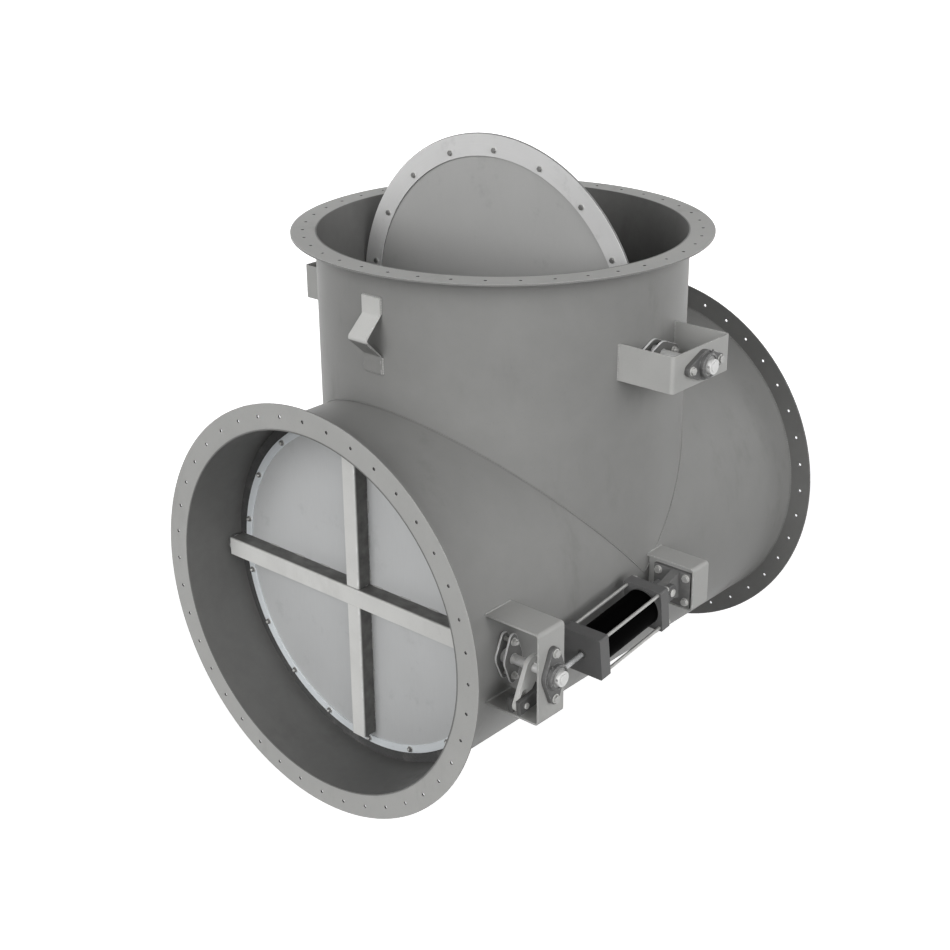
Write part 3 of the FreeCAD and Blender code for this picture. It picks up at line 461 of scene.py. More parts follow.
iron = cast_iron("iron", 88)
dark_steel = cast_iron("dark_steel", 112)
# Painted shade: the face seal is the same rubber as the bypass seal, painted darker for the shade inside the duct.
face_rubber_shaded = soft_black("face_rubber_shaded", 68, 0.7, 320.0)
bypass_rubber = soft_black("bypass_rubber", 118, 0.7, 320.0)
lip_rubber = soft_black("lip_rubber", 66, 0.6, 500.0)
packing_yarn = soft_black("packing_yarn", 60, 0.8, 500.0)
barrel_black = black_enamel("barrel_black", 3)


# %% [markdown]
# ## Weld metal
#
# A weld freezes in steps, which leaves ripples across its run. The mesh carries the
# distance along each run, and a sine of it gives the ripples.

# %% Weld metal
ripple_length = 0.0065


def weld_metal(name, level):
    finish = Finish(name)
    along = finish.attribute("along") * (2 * math.pi / ripple_length)
    ripple = finish.node("ShaderNodeMath", {"operation": "SINE"}, {0: along}) * 0.5 + 0.5
    spatter = finish.noise(160.0, 5.0, 0.7)
    tint = (1.0, 1.0, 0.97)
    coat = finish.blend(spatter, grey(level * 0.84, tint), grey(level * 1.1, tint))
    coat = finish.blend((1 - ripple) * 0.25, coat, grey(level * 0.62))
    relief = finish.bump(ripple * 0.7 + spatter * 0.3, 0.0012, 0.8)
    return finish.surface(coat, 0.45 + (spatter - 0.5) * 0.2, normal=relief, specular_ior_level=0.25)


duct_weld = weld_metal("duct_weld", 136)
bracket_weld = weld_metal("bracket_weld", 162)


# %% [markdown]
# ## Turning a bmesh into a finished piece
#
# Each piece goes the same way: doubles merged, normals turned outwards, flat faces kept
# flat and round ones smoothed by the angle between faces. A Weighted Normal modifier
# lets the large faces decide the shading, so a small rounded edge doesn't bend the light
# over the whole plate. Then the piece is told which body it rides on.

# %% Finishing helper
def settle(bm, name, material, body, nodes=(), smooth=38.0):
    """Makes an object from a bmesh, on a body, in place of the named CAD nodes."""
    bmesh.ops.remove_doubles(bm, verts=bm.verts, dist=1e-6)
    bmesh.ops.recalc_face_normals(bm, faces=bm.faces)
    mesh = bpy.data.meshes.new(name)
    bm.to_mesh(mesh)
    bm.free()
    mesh.shade_smooth()
    mesh.set_sharp_from_angle(angle=math.radians(smooth))
    mesh.materials.append(material)
    piece = bpy.data.objects.new(name, mesh)
    bpy.context.collection.objects.link(piece)
    weigh = piece.modifiers.new("weigh", "WEIGHTED_NORMAL")
    weigh.keep_sharp = True
    weigh.weight = 100
    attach(piece, body)
    if nodes:
        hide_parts(*nodes)
    print("piece", name, len(mesh.polygons), "faces on", body)


def round_edges(bm, width, segments):
    """Bevels the sharp edges and marks the new faces, so that the finish can wear there."""
    layer = bm.loops.layers.float.new("edge")
    sharp = [edge for edge in bm.edges
             if len(edge.link_faces) == 2 and edge.calc_face_angle(0.0) > math.radians(32.0)]
    made = bmesh.ops.bevel(bm, geom=sharp, offset=width, offset_type="OFFSET", segments=segments,
                           profile=0.5, affect="EDGES", clamp_overlap=True, material=-1)
    for face in made["faces"]:
        for loop in face.loops:
            loop[layer] = 1.0


# %% [markdown]
# ## Dressing a CAD node
#
# Where the CAD shape is already right, its mesh is copied, merged and cleaned of the
# triangle edges on flat faces, and its sharp corners get a small radius. Real castings,
# plates and machined blocks never have knife edges, and that thin line of light along
# each corner is what makes a render look solid.

# %% Dressing helper
body_of_node = {}
for body, members in frame["record"]["behaviour"]["bodies"].items():
    for member in members:
        body_of_node[member] = body


def dress(node, material, width, segments=2, mark=None):
    """A rounded copy of one CAD node, in its place. Mark gives each face its rim value."""
    bm = bmesh.new()
    bm.from_mesh(frame["nodes"][node].data)
    for name in list(bm.loops.layers.uv.keys()):
        bm.loops.layers.uv.remove(bm.loops.layers.uv[name])
    bmesh.ops.remove_doubles(bm, verts=bm.verts, dist=2e-6)
    flat = [edge for edge in bm.edges
            if len(edge.link_faces) == 2 and edge.calc_face_angle(1.0) < math.radians(0.3)]
    bmesh.ops.dissolve_edges(bm, edges=flat, use_verts=False, use_face_split=False)
    if width:
        round_edges(bm, width, segments)
    if mark:
        bm.normal_update()
        rim = bm.loops.layers.float.new("rim")
        for face in bm.faces:
            share = mark(face)
            for loop in face.loops:
                loop[rim] = share
    settle(bm, node + "_dressed", material, body_of_node[node], [node])


# %% [markdown]
# ## The two ducts
#
# Two tubes of the same size meet along two flat ellipses, at 45 degrees to both axes.
# That makes the joint easy: each tube is a spun line, cut with `bisect_plane` by the two
# slanting planes, and what lies beyond them is deleted. The wall gets its thickness last.

# %% Ducts
duct_low, duct_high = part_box("main_duct")
branch_low, branch_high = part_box("branch_duct")
duct_outer = duct_high.x
duct_wall = 0.004
duct_inner = duct_outer - duct_wall
branch_y = (branch_low.y + branch_high.y) / 2
bypass_top = branch_high.z
face_end = duct_low.y
round_steps = 288


def inside(finish, across, middle):
    """1 on the inner side of a duct's wall, 0 on its outer side."""
    away = finish.part(across) - middle
    radius = (finish.part("X") ** 2 + away ** 2) ** 0.5
    return radius.step(duct_outer - 0.001, duct_inner + 0.001)


# Painted shade: the insides of both ducts are painted darker than their outsides.
main_coat = coated_steel("main_coat", 130, painted_shade=lambda finish: inside(finish, "Z", 0.0), shade_strength=0.46)
branch_coat = coated_steel("branch_coat", 130, painted_shade=lambda finish: inside(finish, "Y", branch_y), shade_strength=0.48)


def spun_tube(axis, centre, start, end, rows):
    """An open tube round Y or Z through a centre, from start to end on that axis."""
    bm = bmesh.new()
    line = Vector((duct_outer, 0.0, 0.0)) + centre
    first = bm.verts.new(line + axis * start)
    last = bm.verts.new(line + axis * end)
    edge = bm.edges.new((first, last))
    bmesh.ops.subdivide_edges(bm, edges=[edge], cuts=rows - 1)
    bmesh.ops.spin(bm, geom=bm.edges[:] + bm.verts[:], cent=centre, axis=axis, angle=2 * math.pi,
                   steps=round_steps, use_merge=True)
    return bm


def cut_saddle(bm, keep_above):
    """Cuts a tube by the two 45 degree planes of the joint, and keeps one side."""
    for side in (-1, 1):
        bmesh.ops.bisect_plane(bm, geom=bm.verts[:] + bm.edges[:] + bm.faces[:], dist=1e-7,
                               plane_co=(0.0, branch_y, 0.0), plane_no=(0.0, side, -1.0))
    middles = {face: face.calc_center_median() for face in bm.faces}
    beyond = [face for face, spot in middles.items() if (spot.z > abs(spot.y - branch_y)) != keep_above]
    bmesh.ops.delete(bm, geom=beyond, context="FACES")
    print("kept", len(bm.faces), "faces of the tube")


def thick_wall(bm):
    """Gives an open shell its wall, towards the tube's inside."""
    bmesh.ops.recalc_face_normals(bm, faces=bm.faces)
    bmesh.ops.solidify(bm, geom=bm.faces[:], thickness=duct_wall)


main_shell = spun_tube(Vector((0, 1, 0)), Vector((0, 0, 0)), face_end, 0.0, rows=24)
cut_saddle(main_shell, False)
thick_wall(main_shell)
settle(main_shell, "main_duct_shell", main_coat, "housing", ["main_duct"])

branch_shell = spun_tube(Vector((0, 0, 1)), Vector((0, branch_y, 0)), 0.0, bypass_top, rows=16)
cut_saddle(branch_shell, True)
thick_wall(branch_shell)
settle(branch_shell, "branch_duct_shell", branch_coat, "housing", ["branch_duct"])


# %% [markdown]
# ## Laying weld metal
#
# A welded piece shows its weld: a low bead in the corner. A straight bead is a thin bar,
# and a round one is a small circle spun about the duct's axis. Each point is given its
# distance along the run in metres. Half of each bead is sunk in the steel.

# %% Weld helpers
def weld_mesh():
    """An empty mesh whose points can be numbered along the run."""
    bm = bmesh.new()
    bm.verts.layers.float.new("along")
    return bm


def straight_bead(bm, start, end, size):
    """A run of weld metal between two points."""
    start, end = Vector(start), Vector(end)
    run = end - start
    turn = run.to_track_quat("Z", "Y").to_matrix().to_4x4()
    made = bmesh.ops.create_cone(bm, cap_ends=True, cap_tris=False, segments=10, radius1=size, radius2=size,
                                 depth=run.length, matrix=Matrix.Translation((start + end) / 2) @ turn)
    along = bm.verts.layers.float["along"]
    for vert in made["verts"]:
        vert[along] = (vert.co - start).dot(run.normalized())


def round_bead(bm, centre, axis, spot, size, angle=2 * math.pi, steps=144):
    """A run of weld metal round an axis, from a spot on. Gives back its points."""
    centre, axis, spot = Vector(centre), Vector(axis), Vector(spot)
    outwards = (spot - centre).normalized()
    run = axis.cross(outwards).normalized()
    older = set(bm.verts)
    turn = run.to_track_quat("Z", "Y").to_matrix().to_4x4()
    section = bmesh.ops.create_circle(bm, cap_ends=False, segments=8, radius=size,
                                      matrix=Matrix.Translation(spot) @ turn)["verts"]
    edges = list({edge for vert in section for edge in vert.link_edges})
    bmesh.ops.spin(bm, geom=section + edges, cent=centre, axis=axis, angle=angle, steps=steps,
                   use_merge=angle > 6.28)
    fresh = [vert for vert in bm.verts if vert not in older]
    along = bm.verts.layers.float["along"]
    for vert in fresh:
        reach = vert.co - centre
        vert[along] = (spot - centre).length * (math.atan2(reach.dot(run), reach.dot(outwards)) % (2 * math.pi))
    return fresh


def saddle_bead(bm, radius, size):
    """Half a ring, leaned over to 45 degrees on both sides: the line where two equal tubes meet."""
    for lean in (-1.0, 1.0):
        half_ring = round_bead(bm, (0, branch_y, 0), (0, -1, 0), (radius, branch_y, 0), size, math.pi, 120)
        leaned = Matrix(((1, 0, 0, 0), (0, 1, lean, 0), (0, 0, 1, 0), (0, 0, 0, 1)))
        bmesh.ops.transform(bm, matrix=leaned, verts=half_ring)


# %% Welds of the ducts
bead = 0.0026
seam_bead = 0.0022
flange_thickness = 0.005
short_of_flange = 0.006
duct_welds = weld_mesh()
for radius in (duct_outer, duct_inner):
    saddle_bead(duct_welds, radius, bead)
bmesh.ops.holes_fill(duct_welds, edges=[edge for edge in duct_welds.edges if edge.is_boundary], sides=0)
for centre, axis in (((0, -flange_thickness, 0), (0, 1, 0)),
                     ((0, face_end + flange_thickness, 0), (0, 1, 0)),
                     ((0, branch_y, bypass_top - flange_thickness), (0, 0, 1))):
    round_bead(duct_welds, centre, axis, Vector(centre) + Vector((duct_outer, 0, 0)), bead)

main_seam = Vector((-0.32, 0, -0.9474)).normalized() * duct_outer
straight_bead(duct_welds, (main_seam.x, face_end + short_of_flange, main_seam.z),
              (main_seam.x, -short_of_flange, main_seam.z), seam_bead)
branch_seam = Vector((-0.45, 0.893, 0)).normalized() * duct_outer
straight_bead(duct_welds, (branch_seam.x, branch_y + branch_seam.y, branch_seam.y + 0.004),
              (branch_seam.x, branch_y + branch_seam.y, bypass_top - short_of_flange), seam_bead)
settle(duct_welds, "duct_welds", duct_weld, "housing", smooth=60.0)


# %% [markdown]
# ## Finding the loose pieces of a CAD node
#
# Bolts, studs and rings come as one node with many loose pieces in it. `islands` walks
# from point to point along the edges and gives each piece's lowest and highest corner,
# so that washers and thread ends can be put on each bolt without writing its place down.

# %% Islands, and a small lathe
def islands(node):
    """The lowest and highest corner of each loose piece in a CAD node."""
    bm = bmesh.new()
    bm.from_mesh(frame["nodes"][node].data)
    bmesh.ops.remove_doubles(bm, verts=bm.verts, dist=2e-6)
    left = set(bm.verts)
    corners = []
    while left:
        waiting = [left.pop()]
        points = []
        while waiting:
            vert = waiting.pop()
            points.append(vert.co.copy())
            near = {edge.other_vert(vert) for edge in vert.link_edges} & left
            left -= near
            waiting.extend(near)
        corners.append((Vector([min(p[i] for p in points) for i in range(3)]),
                        Vector([max(p[i] for p in points) for i in range(3)])))
    bm.free()
    print("islands", node, len(corners))
    return sorted(corners, key=lambda pair: tuple(round(v, 4) for v in pair[0]))


def lathe(bm, base, axis, outline, steps, closed=False):
    """Spins an outline of (height, radius) points round an axis that starts at base."""
    base, axis = Vector(base), Vector(axis).normalized()
    side = axis.orthogonal().normalized()
    points = [bm.verts.new(base + axis * height + side * radius) for height, radius in outline]
    pairs = list(zip(points, points[1:])) + ([(points[-1], points[0])] if closed else [])
    edges = [bm.edges.new(pair) for pair in pairs]
    bmesh.ops.spin(bm, geom=points + edges, cent=base, axis=axis, angle=2 * math.pi, steps=steps, use_merge=True)


def washer(bm, base, axis, hole, rim, thickness, steps=24):
    """A flat washer with a slightly broken outer edge."""
    soft = thickness * 0.25
    lathe(bm, base, axis, ((0, hole), (0, rim), (thickness - soft, rim), (thickness, rim - soft), (thickness, hole)),
          steps, closed=True)


def thread_end(bm, base, axis, radius, length, pitch=0.00125):
    """The end of a bolt standing out of its nut: crests and roots, with a chamfered tip."""
    turns = int(length / pitch)
    outline = [(0, radius)]
    for k in range(turns):
        outline += [(k * pitch + pitch * 0.45, radius * 0.9), (k * pitch + pitch * 0.9, radius)]
    outline += [(length, radius * 0.8), (length, 0)]
    lathe(bm, base, axis, outline, 14)


# %% [markdown]
# ## Flanges
#
# The drilled rings are right in the CAD model. They only need the broken edge that a
# ring cut from plate has, and a mark on the faces that cross the plate: painted shade
# darkens the walls of the bolt holes fully and the outer rim by half.

# %% Flanges
flange_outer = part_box("face_flange")[1].x


def flange_shade_mark(axis, middle):
    """Marks the walls of the holes by 1 and the outer rim by one half, for painted shade."""
    def mark(face):
        spot = face.calc_center_median() - middle
        spot[axis] = 0.0
        if abs(face.normal[axis]) > 0.5 or spot.length < duct_outer + 0.004:
            return 0.0
        return 0.5 if spot.length > flange_outer - 0.003 else 1.0
    return mark


across_main = flange_shade_mark(1, Vector((0, 0, 0)))
across_branch = flange_shade_mark(2, Vector((0, branch_y, 0)))
for node, coat, mark in (("face_flange", flange_coat, across_main),
                         ("common_flange", common_flange_shaded_coat, across_main),
                         ("bypass_flange", flange_coat, across_branch)):
    dress(node, coat, width=0.0005, segments=1, mark=mark)


# %% [markdown]
# ## Brackets and straps
#
# Each bearing sits on a strip of plate bent to a U over the gland, so that a spanner
# reaches the gland's nuts from the open sides. The strips are welded to the duct along
# both legs, and so are the lifting strap and the bracket of the air cylinder.

# %% Brackets, straps and their welds
for side in sides:
    for port in ports:
        dress(port + "_bracket_" + side, bracket_coat, width=0.0008)
dress("lifting_strap", strap_coat, width=0.0008)
dress("pivot_strap", bracket_coat, width=0.0008)
dress("pivot_web", bracket_coat, width=0.0006)

strip_thickness = 0.005
strap_bead = 0.0028
strap_pad = 0.043
strap_back = strap_high.y - 0.0005


def leg_beads(bm, node, sign, upright=False):
    """Beads along both faces of both legs of a bent strip, where they stand on a duct."""
    low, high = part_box(node)
    across, along = (1, 2) if upright else (2, 1)
    middle = branch_y if upright else 0.0
    for edge, inwards in ((low[across], 1), (high[across], -1)):
        for away in (edge, edge + inwards * strip_thickness):
            start = Vector((sign * math.sqrt(duct_outer ** 2 - (away - middle) ** 2), 0, 0))
            start[across] = away
            start[along] = low[along] + 0.001
            end = start.copy()
            end[along] = high[along] - 0.001
            straight_bead(bm, start, end, bead)


bracket_welds = weld_mesh()
for side, sign in sides.items():
    leg_beads(bracket_welds, "face_bracket_" + side, sign)
    leg_beads(bracket_welds, "bypass_bracket_" + side, sign, upright=True)
leg_beads(bracket_welds, "pivot_strap", 1)
for x in (strap_low.x, strap_high.x):
    for z in (strap_low.z, strap_high.z - strap_pad):
        straight_bead(bracket_welds, (x, strap_high.y, z), (x, strap_high.y, z + strap_pad), strap_bead)
for z in (strap_low.z, strap_high.z):
    straight_bead(bracket_welds, (strap_low.x, strap_back, z), (strap_high.x, strap_back, z), strap_bead)
settle(bracket_welds, "bracket_welds", bracket_weld, "housing", smooth=60.0)


# %% [markdown]
# ## Bearings and glands
#
# The bearing is a cast flange unit: a rough iron housing, a ground ring that turns with
# the shaft, two small screws that lock the ring, and a nipple for grease. Behind it a
# packing gland seals the shaft where it goes through the duct wall. Its follower is
# drawn up by two studs.

# %% Bearings and glands
follower_plate = 0.006


def plate_rim_highlight(face):
    """1 on the thin sides of the gland plates outside the duct, where a highlight is painted."""
    return float(abs(face.normal.x) < 0.5 and abs(face.calc_center_median().x) > duct_outer)


for side in sides:
    for port in ports:
        dress(port + "_bearing_" + side, iron, width=0.0018, segments=3)
for port in ports:
    dress(port + "_gland_boxes", gland_coat, width=0.0012, mark=plate_rim_highlight)
    follower = port + "_gland_followers"
    two_finishes = follower_finish(follower + "_steel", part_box(follower)[1].x - follower_plate)
    dress(follower, two_finishes, width=0.0012, mark=plate_rim_highlight)
dress("packing_rings", packing_yarn, width=0.0)
dress("gland_studs", zinc, width=0.0006)
dress("bearing_inserts", insert_steel, width=0.0006)
dress("bearing_bolts", bolt_zinc, width=0.001)
dress("pivot_plate", dark_steel, width=0.0012)
dress("pivot_bolts", zinc, width=0.001)


# %% [markdown]
# ## Washers, thread ends and grease nipples
#
# A washer is given by its hole, its rim and its thickness, and a thread end by its radius
# and its length. Each bolt's box says where its head and its nut are.

# %% Washers, thread ends and grease nipples of the housing
bolt_washer = (0.0062, 0.0118, 0.0018)
stud_washer = (0.0052, 0.0102, 0.0016)
bolt_thread = (0.0058, 0.0052)
head_height = 0.0075
stud_stand = 0.014
sunk = 0.0002

housing_washers = bmesh.new()
for low, high in islands("bearing_bolts"):
    sign = 1 if low.x > 0 else -1
    spot = (low + high) / 2
    inner, outer = sorted((abs(low.x), abs(high.x)))
    washer(housing_washers, (sign * (outer - head_height), spot.y, spot.z), (sign, 0, 0), *bolt_washer)
    washer(housing_washers, (sign * (inner + head_height), spot.y, spot.z), (-sign, 0, 0), *bolt_washer)
    thread_end(housing_washers, (sign * (inner + sunk), spot.y, spot.z), (-sign, 0, 0), *bolt_thread)
for low, high in islands("pivot_bolts"):
    spot = (low + high) / 2
    washer(housing_washers, (spot.x, low.y + head_height, spot.z), (0, -1, 0), *bolt_washer)
    washer(housing_washers, (spot.x, high.y - head_height, spot.z), (0, 1, 0), *bolt_washer)
    thread_end(housing_washers, (spot.x, high.y - sunk, spot.z), (0, 1, 0), *bolt_thread)
for low, high in islands("gland_studs"):
    sign = 1 if low.x > 0 else -1
    spot = (low + high) / 2
    seat = max(abs(low.x), abs(high.x)) - stud_stand
    washer(housing_washers, (sign * seat, spot.y, spot.z), (sign, 0, 0), *stud_washer)
settle(housing_washers, "housing_washers", zinc, "housing")

nipple_outline = ((0, 0.0044), (0.0035, 0.0044), (0.0042, 0.0036), (0.0042, 0.0024), (0.0058, 0.0019),
                  (0.0072, 0.0028), (0.0086, 0.0028), (0.0098, 0.0015), (0.0098, 0.0))
nipple_from_shaft = 0.0325
nipple_from_end = 0.0095
grease_nipples = bmesh.new()
for side, sign in sides.items():
    for port, centre, lean in (("face", face_axis, (0.0, -0.5, 0.866)),
                               ("bypass", bypass_axis, (0.0, 0.5, 0.866))):
        low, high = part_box(port + "_bearing_" + side)
        x = sign * (max(abs(low.x), abs(high.x)) - nipple_from_end)
        base = Vector((x, centre.y, centre.z)) + Vector(lean) * nipple_from_shaft
        lathe(grease_nipples, base, lean, nipple_outline, 12)
settle(grease_nipples, "grease_nipples", clevis_steel, "housing")


# %% [markdown]
# ## The two blades
#
# A blade is a disc of sheet on a square beam that holds the two shaft ends. A rubber ring
# is clamped between the disc and a stainless ring, and wipes the duct. The beam and the
# stiffeners are held by short stitch welds, because a run all along would pull the disc
# out of flat. The two blades are the same, only turned, so each is worked out in its own
# frame: X along the shaft, Y from the beam's face to the seal.

# %% A blade's own frame, and its welds
beam_half = 0.025
stiffener_half = 0.0225
stitch_step = 0.1
stitch_half = 0.017
corner_half = 0.021
corner_bead = 0.0024


def on_blade(port, x, y, z):
    """A point of a blade's own frame, in the model's frame at rest."""
    if port == "face":
        return Vector((x, face_axis.y + y, face_axis.z + z))
    return Vector((x, bypass_axis.y - y, bypass_axis.z - z))


def stitch_welds(port):
    """Short beads between the plate and the beam, and one on each joint of beam and stiffener."""
    stitches = weld_mesh()
    for k in range(-4, 4):
        middle = (k + 0.5) * stitch_step
        start, end = middle - stitch_half, middle + stitch_half
        for edge in (-beam_half, beam_half):
            straight_bead(stitches, on_blade(port, start, beam_half, edge),
                          on_blade(port, end, beam_half, edge), bead)
        for edge in (-stiffener_half, stiffener_half):
            straight_bead(stitches, on_blade(port, edge, beam_half, start),
                          on_blade(port, edge, beam_half, end), bead)
    corner_y = 0.004 - beam_half
    for edge in (-beam_half, beam_half):
        straight_bead(stitches, on_blade(port, -corner_half, corner_y, edge),
                      on_blade(port, corner_half, corner_y, edge), corner_bead)
    settle(stitches, port + "_blade_welds", bracket_weld, port + "_blade", smooth=60.0)


# %% Washers and lock screws of a blade
blade_washer = (0.0042, 0.0088, 0.0014)
blade_thread = (0.0039, 0.0032)
screw_outline = ((0, 0.0028), (0.0018, 0.0028), (0.0022, 0.0024), (0.0022, 0.0014), (0.0006, 0.0014), (0.0006, 0))
screw_turns = (50, 170)
screw_seat = 0.0185
screw_from_end = 0.005


def blade_washers(port):
    """A washer on both ends of each bolt, and a thread end on the beam's side."""
    plate_low, plate_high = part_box(port + "_plate")
    plate_y = (plate_low.y + plate_high.y) / 2
    beam_low, beam_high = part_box(port + "_beam")
    beam_sign = -1 if (beam_low.y + beam_high.y) / 2 < plate_y else 1
    washers = bmesh.new()
    for low, high in islands(port + "_blade_bolts"):
        spot = (low + high) / 2
        sign = 1 if spot.y > plate_y else -1
        near, far = (low.y, high.y) if sign > 0 else (high.y, low.y)
        washer(washers, (spot.x, near, spot.z), (0, sign, 0), *blade_washer, 18)
        if sign == beam_sign:
            thread_end(washers, (spot.x, far - sign * sunk, spot.z), (0, sign, 0), *blade_thread)
    settle(washers, port + "_blade_washers", zinc, port + "_blade")


def lock_screws(port):
    """Two small screws with a socket in each ring that turns with the shaft."""
    screws = bmesh.new()
    for low, high in islands(port + "_bearing_inner_rings"):
        sign = 1 if low.x > 0 else -1
        centre = on_blade(port, sign * (max(abs(low.x), abs(high.x)) - screw_from_end), 0, 0)
        for turn in screw_turns:
            out = Vector((0, math.cos(math.radians(turn)), math.sin(math.radians(turn))))
            lathe(screws, centre + out * screw_seat, out, screw_outline, 12)
    settle(screws, port + "_lock_screws", clevis_steel, port + "_blade")


# %% Both blades and the lever
def shaded_beam_coat(port, part):
    """Plain coat on the front of a beam, and painted shade on its sides from a few millimetres behind it."""
    low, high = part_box(port + part)
    front, inwards = (low.y, 1) if port == "face" else (high.y, -1)
    shade_start, shade_full = front + inwards * 0.001, front + inwards * 0.008
    return coated_steel(port + part + "_coat", 210, shade_strength=0.93,
                        painted_shade=lambda finish: finish.part("Y").step(shade_start, shade_full))


for port, plate, ring, rubber in (("face", face_plate_steel, face_ring_steel, face_rubber_shaded),
                                  ("bypass", bypass_plate_steel, bypass_ring_steel, bypass_rubber)):
    for part in ("_beam", "_stiffeners"):
        dress(port + part, shaded_beam_coat(port, part), width=0.003, segments=3)
    dress(port + "_plate", plate, width=0.0)
    dress(port + "_clamp_ring", ring, width=0.0004, segments=1)
    dress(port + "_seal", rubber, width=0.0)
    dress(port + "_seal_ring", ring, width=0.0004, segments=1)
    dress(port + "_blade_bolts", blade_zinc, width=0.0009)
    dress(port + "_shaft_right", shaft_steel, width=0.001)
    dress(port + "_shaft_left", shaft_steel, width=0.001)
    dress(port + "_bearing_inner_rings", ring_steel, width=0.0008)
    stitch_welds(port)
    blade_washers(port)
    lock_screws(port)
dress("lever", lever_coat, width=0.001)
dress("lever_key", shaft_steel, width=0.0004)


# %% [markdown]
# ## The air cylinder
#
# A square-capped cylinder with four tie rods. It leans by a few degrees, and its rod
# pushes and pulls the lever. All its small additions are worked out in the cylinder's own
# frame, with the rear pin at its origin and Y along the rod, and lean with it.

# %% Air cylinder and rod
for node, material, width in (
        ("front_cap", cap_coat, 0.0015), ("rear_cap", cap_coat, 0.0015), ("barrel", barrel_black, 0.0),
        ("tie_rods", rod_zinc, 0.0006), ("rod_bush", bronze, 0.0004), ("rear_clevis", cap_coat, 0.0015),
        ("rear_pin", zinc, 0.0008), ("piston_rod", rod_chrome, 0.0006), ("piston", shaft_steel, 0.0),
        ("rod_nut", zinc, 0.0008), ("rod_clevis", clevis_steel, 0.001), ("clevis_pin", zinc, 0.0008)):
    dress(node, material, width)

rod_line = next(Vector(joint["axis"]) for joint in frame["joints"] if joint["name"] == "rod_stroke").normalized()
pin_place = joint_at["cylinder_pivot"]
rod_up = Vector((1, 0, 0)).cross(rod_line)


def on_cylinder(x, y, z):
    """A point of the cylinder's own frame, in the model's frame at rest."""
    return pin_place + Vector((x, 0, 0)) + rod_line * y + rod_up * z


# %% Wiper ring, cap screws and trim rings
front_face_y = -0.357
screw_seat_y = -0.0512
wiper_outline = ((0, 0.0074), (0, 0.0125), (0.0016, 0.0125), (0.0024, 0.0115), (0.0024, 0.0085), (0.0034, 0.0074))
cap_screw_outline = ((0, 0.005), (0.0046, 0.005), (0.0052, 0.0044), (0.0052, 0.0025), (0.0022, 0.0025), (0.0022, 0))
trim_length = 0.0045
trim_outline = ((0, 0.0512), (0, 0.0524), (trim_length, 0.0524), (trim_length, 0.0512))

wiper = bmesh.new()
lathe(wiper, on_cylinder(0, front_face_y, 0), -rod_line, wiper_outline, 32, closed=True)
settle(wiper, "rod_wiper", lip_rubber, "cylinder")

trim = bmesh.new()
for x in (-0.0305, 0.0305):
    for z in (-0.0295, 0.0295):
        lathe(trim, on_cylinder(x, screw_seat_y, z), rod_line, cap_screw_outline, 18)
for y in (-0.321, -0.0995):
    lathe(trim, on_cylinder(0, y, 0), rod_line, trim_outline, 72, closed=True)
settle(trim, "cylinder_trim", clevis_steel, "cylinder")


# %% [markdown]
# ## Floor, background and light
#
# The damper stands on a pale floor in front of white. The background is white only for
# what the camera, a reflection or a clear surface sees; for all other light the floor is
# a plain grey that doesn't brighten the object from below. It keeps the shadow under
# the rims.

# %% Floor
def seen_directly(finish):
    """1 for the camera, a reflection or a clear surface, 0 for the light that falls on things."""
    kinds = [finish.node("ShaderNodeLightPath", out=name)
             for name in ("Is Camera Ray", "Is Glossy Ray", "Is Transmission Ray")]
    return (kinds[0] + kinds[1] + kinds[2]).least(1.0)


def white_floor():
    finish = Finish("floor_white")
    speckle = finish.noise(1.5, 3.0, 0.5)
    matte = finish.node("ShaderNodeBsdfDiffuse", {}, {"Color": finish.blend(speckle, grey(214), grey(218))})
    apart = (finish.part("X") ** 2 + finish.part("Y") ** 2) ** 0.5
    glow = finish.blend(apart.step(1.2, 3.2), (0.82, 0.82, 0.82, 1), (1, 1, 1, 1))
    lit = finish.node("ShaderNodeEmission", {}, {"Color": glow, "Strength": 1.0})
    both = finish.node("ShaderNodeAddShader", {}, {0: matte, 1: lit})
    dull = finish.node("ShaderNodeBsdfDiffuse", {}, {"Color": grey(96)})
    return finish.ends_in(finish.node("ShaderNodeMixShader", {}, {0: seen_directly(finish), 1: dull, 2: both}))


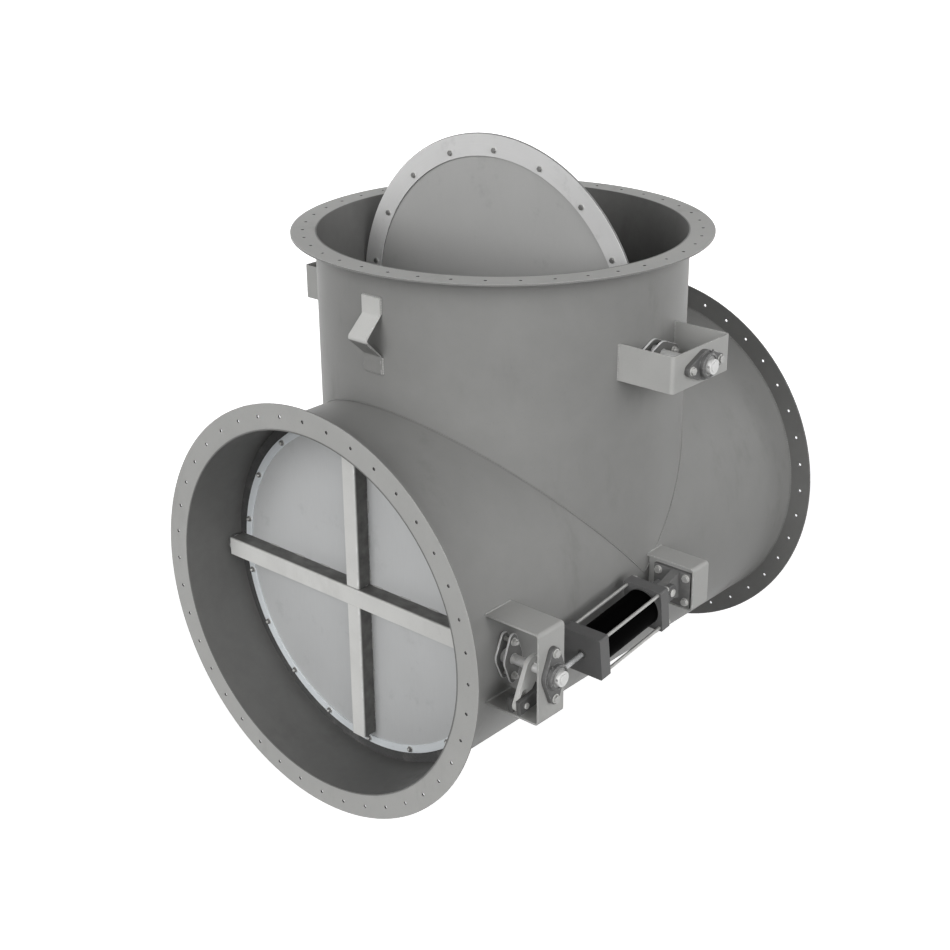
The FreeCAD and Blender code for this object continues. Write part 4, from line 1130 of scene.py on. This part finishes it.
floor_half = 30.0
floor_height = cad_box[0][2] - 0.001
floor_mesh = bmesh.new()
bmesh.ops.create_grid(floor_mesh, x_segments=2, y_segments=2, size=floor_half)
bmesh.ops.translate(floor_mesh, verts=floor_mesh.verts, vec=(0.0, 0.0, floor_height))
floor_data = bpy.data.meshes.new("floor")
floor_mesh.to_mesh(floor_data)
floor_mesh.free()
floor_data.materials.append(white_floor())
floor = bpy.data.objects.new("floor", floor_data)
bpy.context.collection.objects.link(floor)
print("floor at", round(floor_height, 4))

# %% World
studio = bpy.data.worlds.new("studio")
bpy.context.scene.world = studio
sky = Finish("studio", studio, "ShaderNodeOutputWorld")
soft = sky.node("ShaderNodeBackground", {}, {"Color": (1, 1, 1, 1), "Strength": 0.03})
bright = sky.node("ShaderNodeBackground", {}, {"Color": (1, 1, 1, 1), "Strength": 1.0})
sky.ends_in(sky.node("ShaderNodeMixShader", {}, {0: seen_directly(sky), 1: soft, 2: bright}))


# %% [markdown]
# ## Lamps
#
# All lamps are far away and wide, like big soft boxes: their light comes along one line
# and is softened by an angle of some forty degrees, so that no shadow has a hard edge.
# Three of them stand in front, to the right and on the right side. The other two stand
# low on the left and behind, for the sides that the picture doesn't show, and away from
# the line along which the top flange would mirror them to the camera.

# %% Lamps
def far_lamp(name, line, strength, spread):
    """A lamp whose light comes along a line, softened by an angle in degrees."""
    lamp = bpy.data.objects.new(name, bpy.data.lights.new(name, "SUN"))
    bpy.context.collection.objects.link(lamp)
    lamp.data.energy = strength
    lamp.data.angle = math.radians(spread)
    lamp.rotation_euler = Vector(line).to_track_quat("-Z", "Y").to_euler()


far_lamp("front_lamp", (0.1, 1.0, -0.44), 1.95, 46.0)
far_lamp("front_right_lamp", (-0.8, 0.7, -0.15), 1.0, 40.0)
far_lamp("side_lamp", (-1.0, 0.12, -0.42), 1.75, 40.0)
far_lamp("left_lamp", (1.0, -0.2, -0.06), 1.6, 40.0)
far_lamp("rear_lamp", (-0.3, -1.0, -0.06), 1.5, 40.0)
bpy.context.scene.view_settings.view_transform = "Standard"
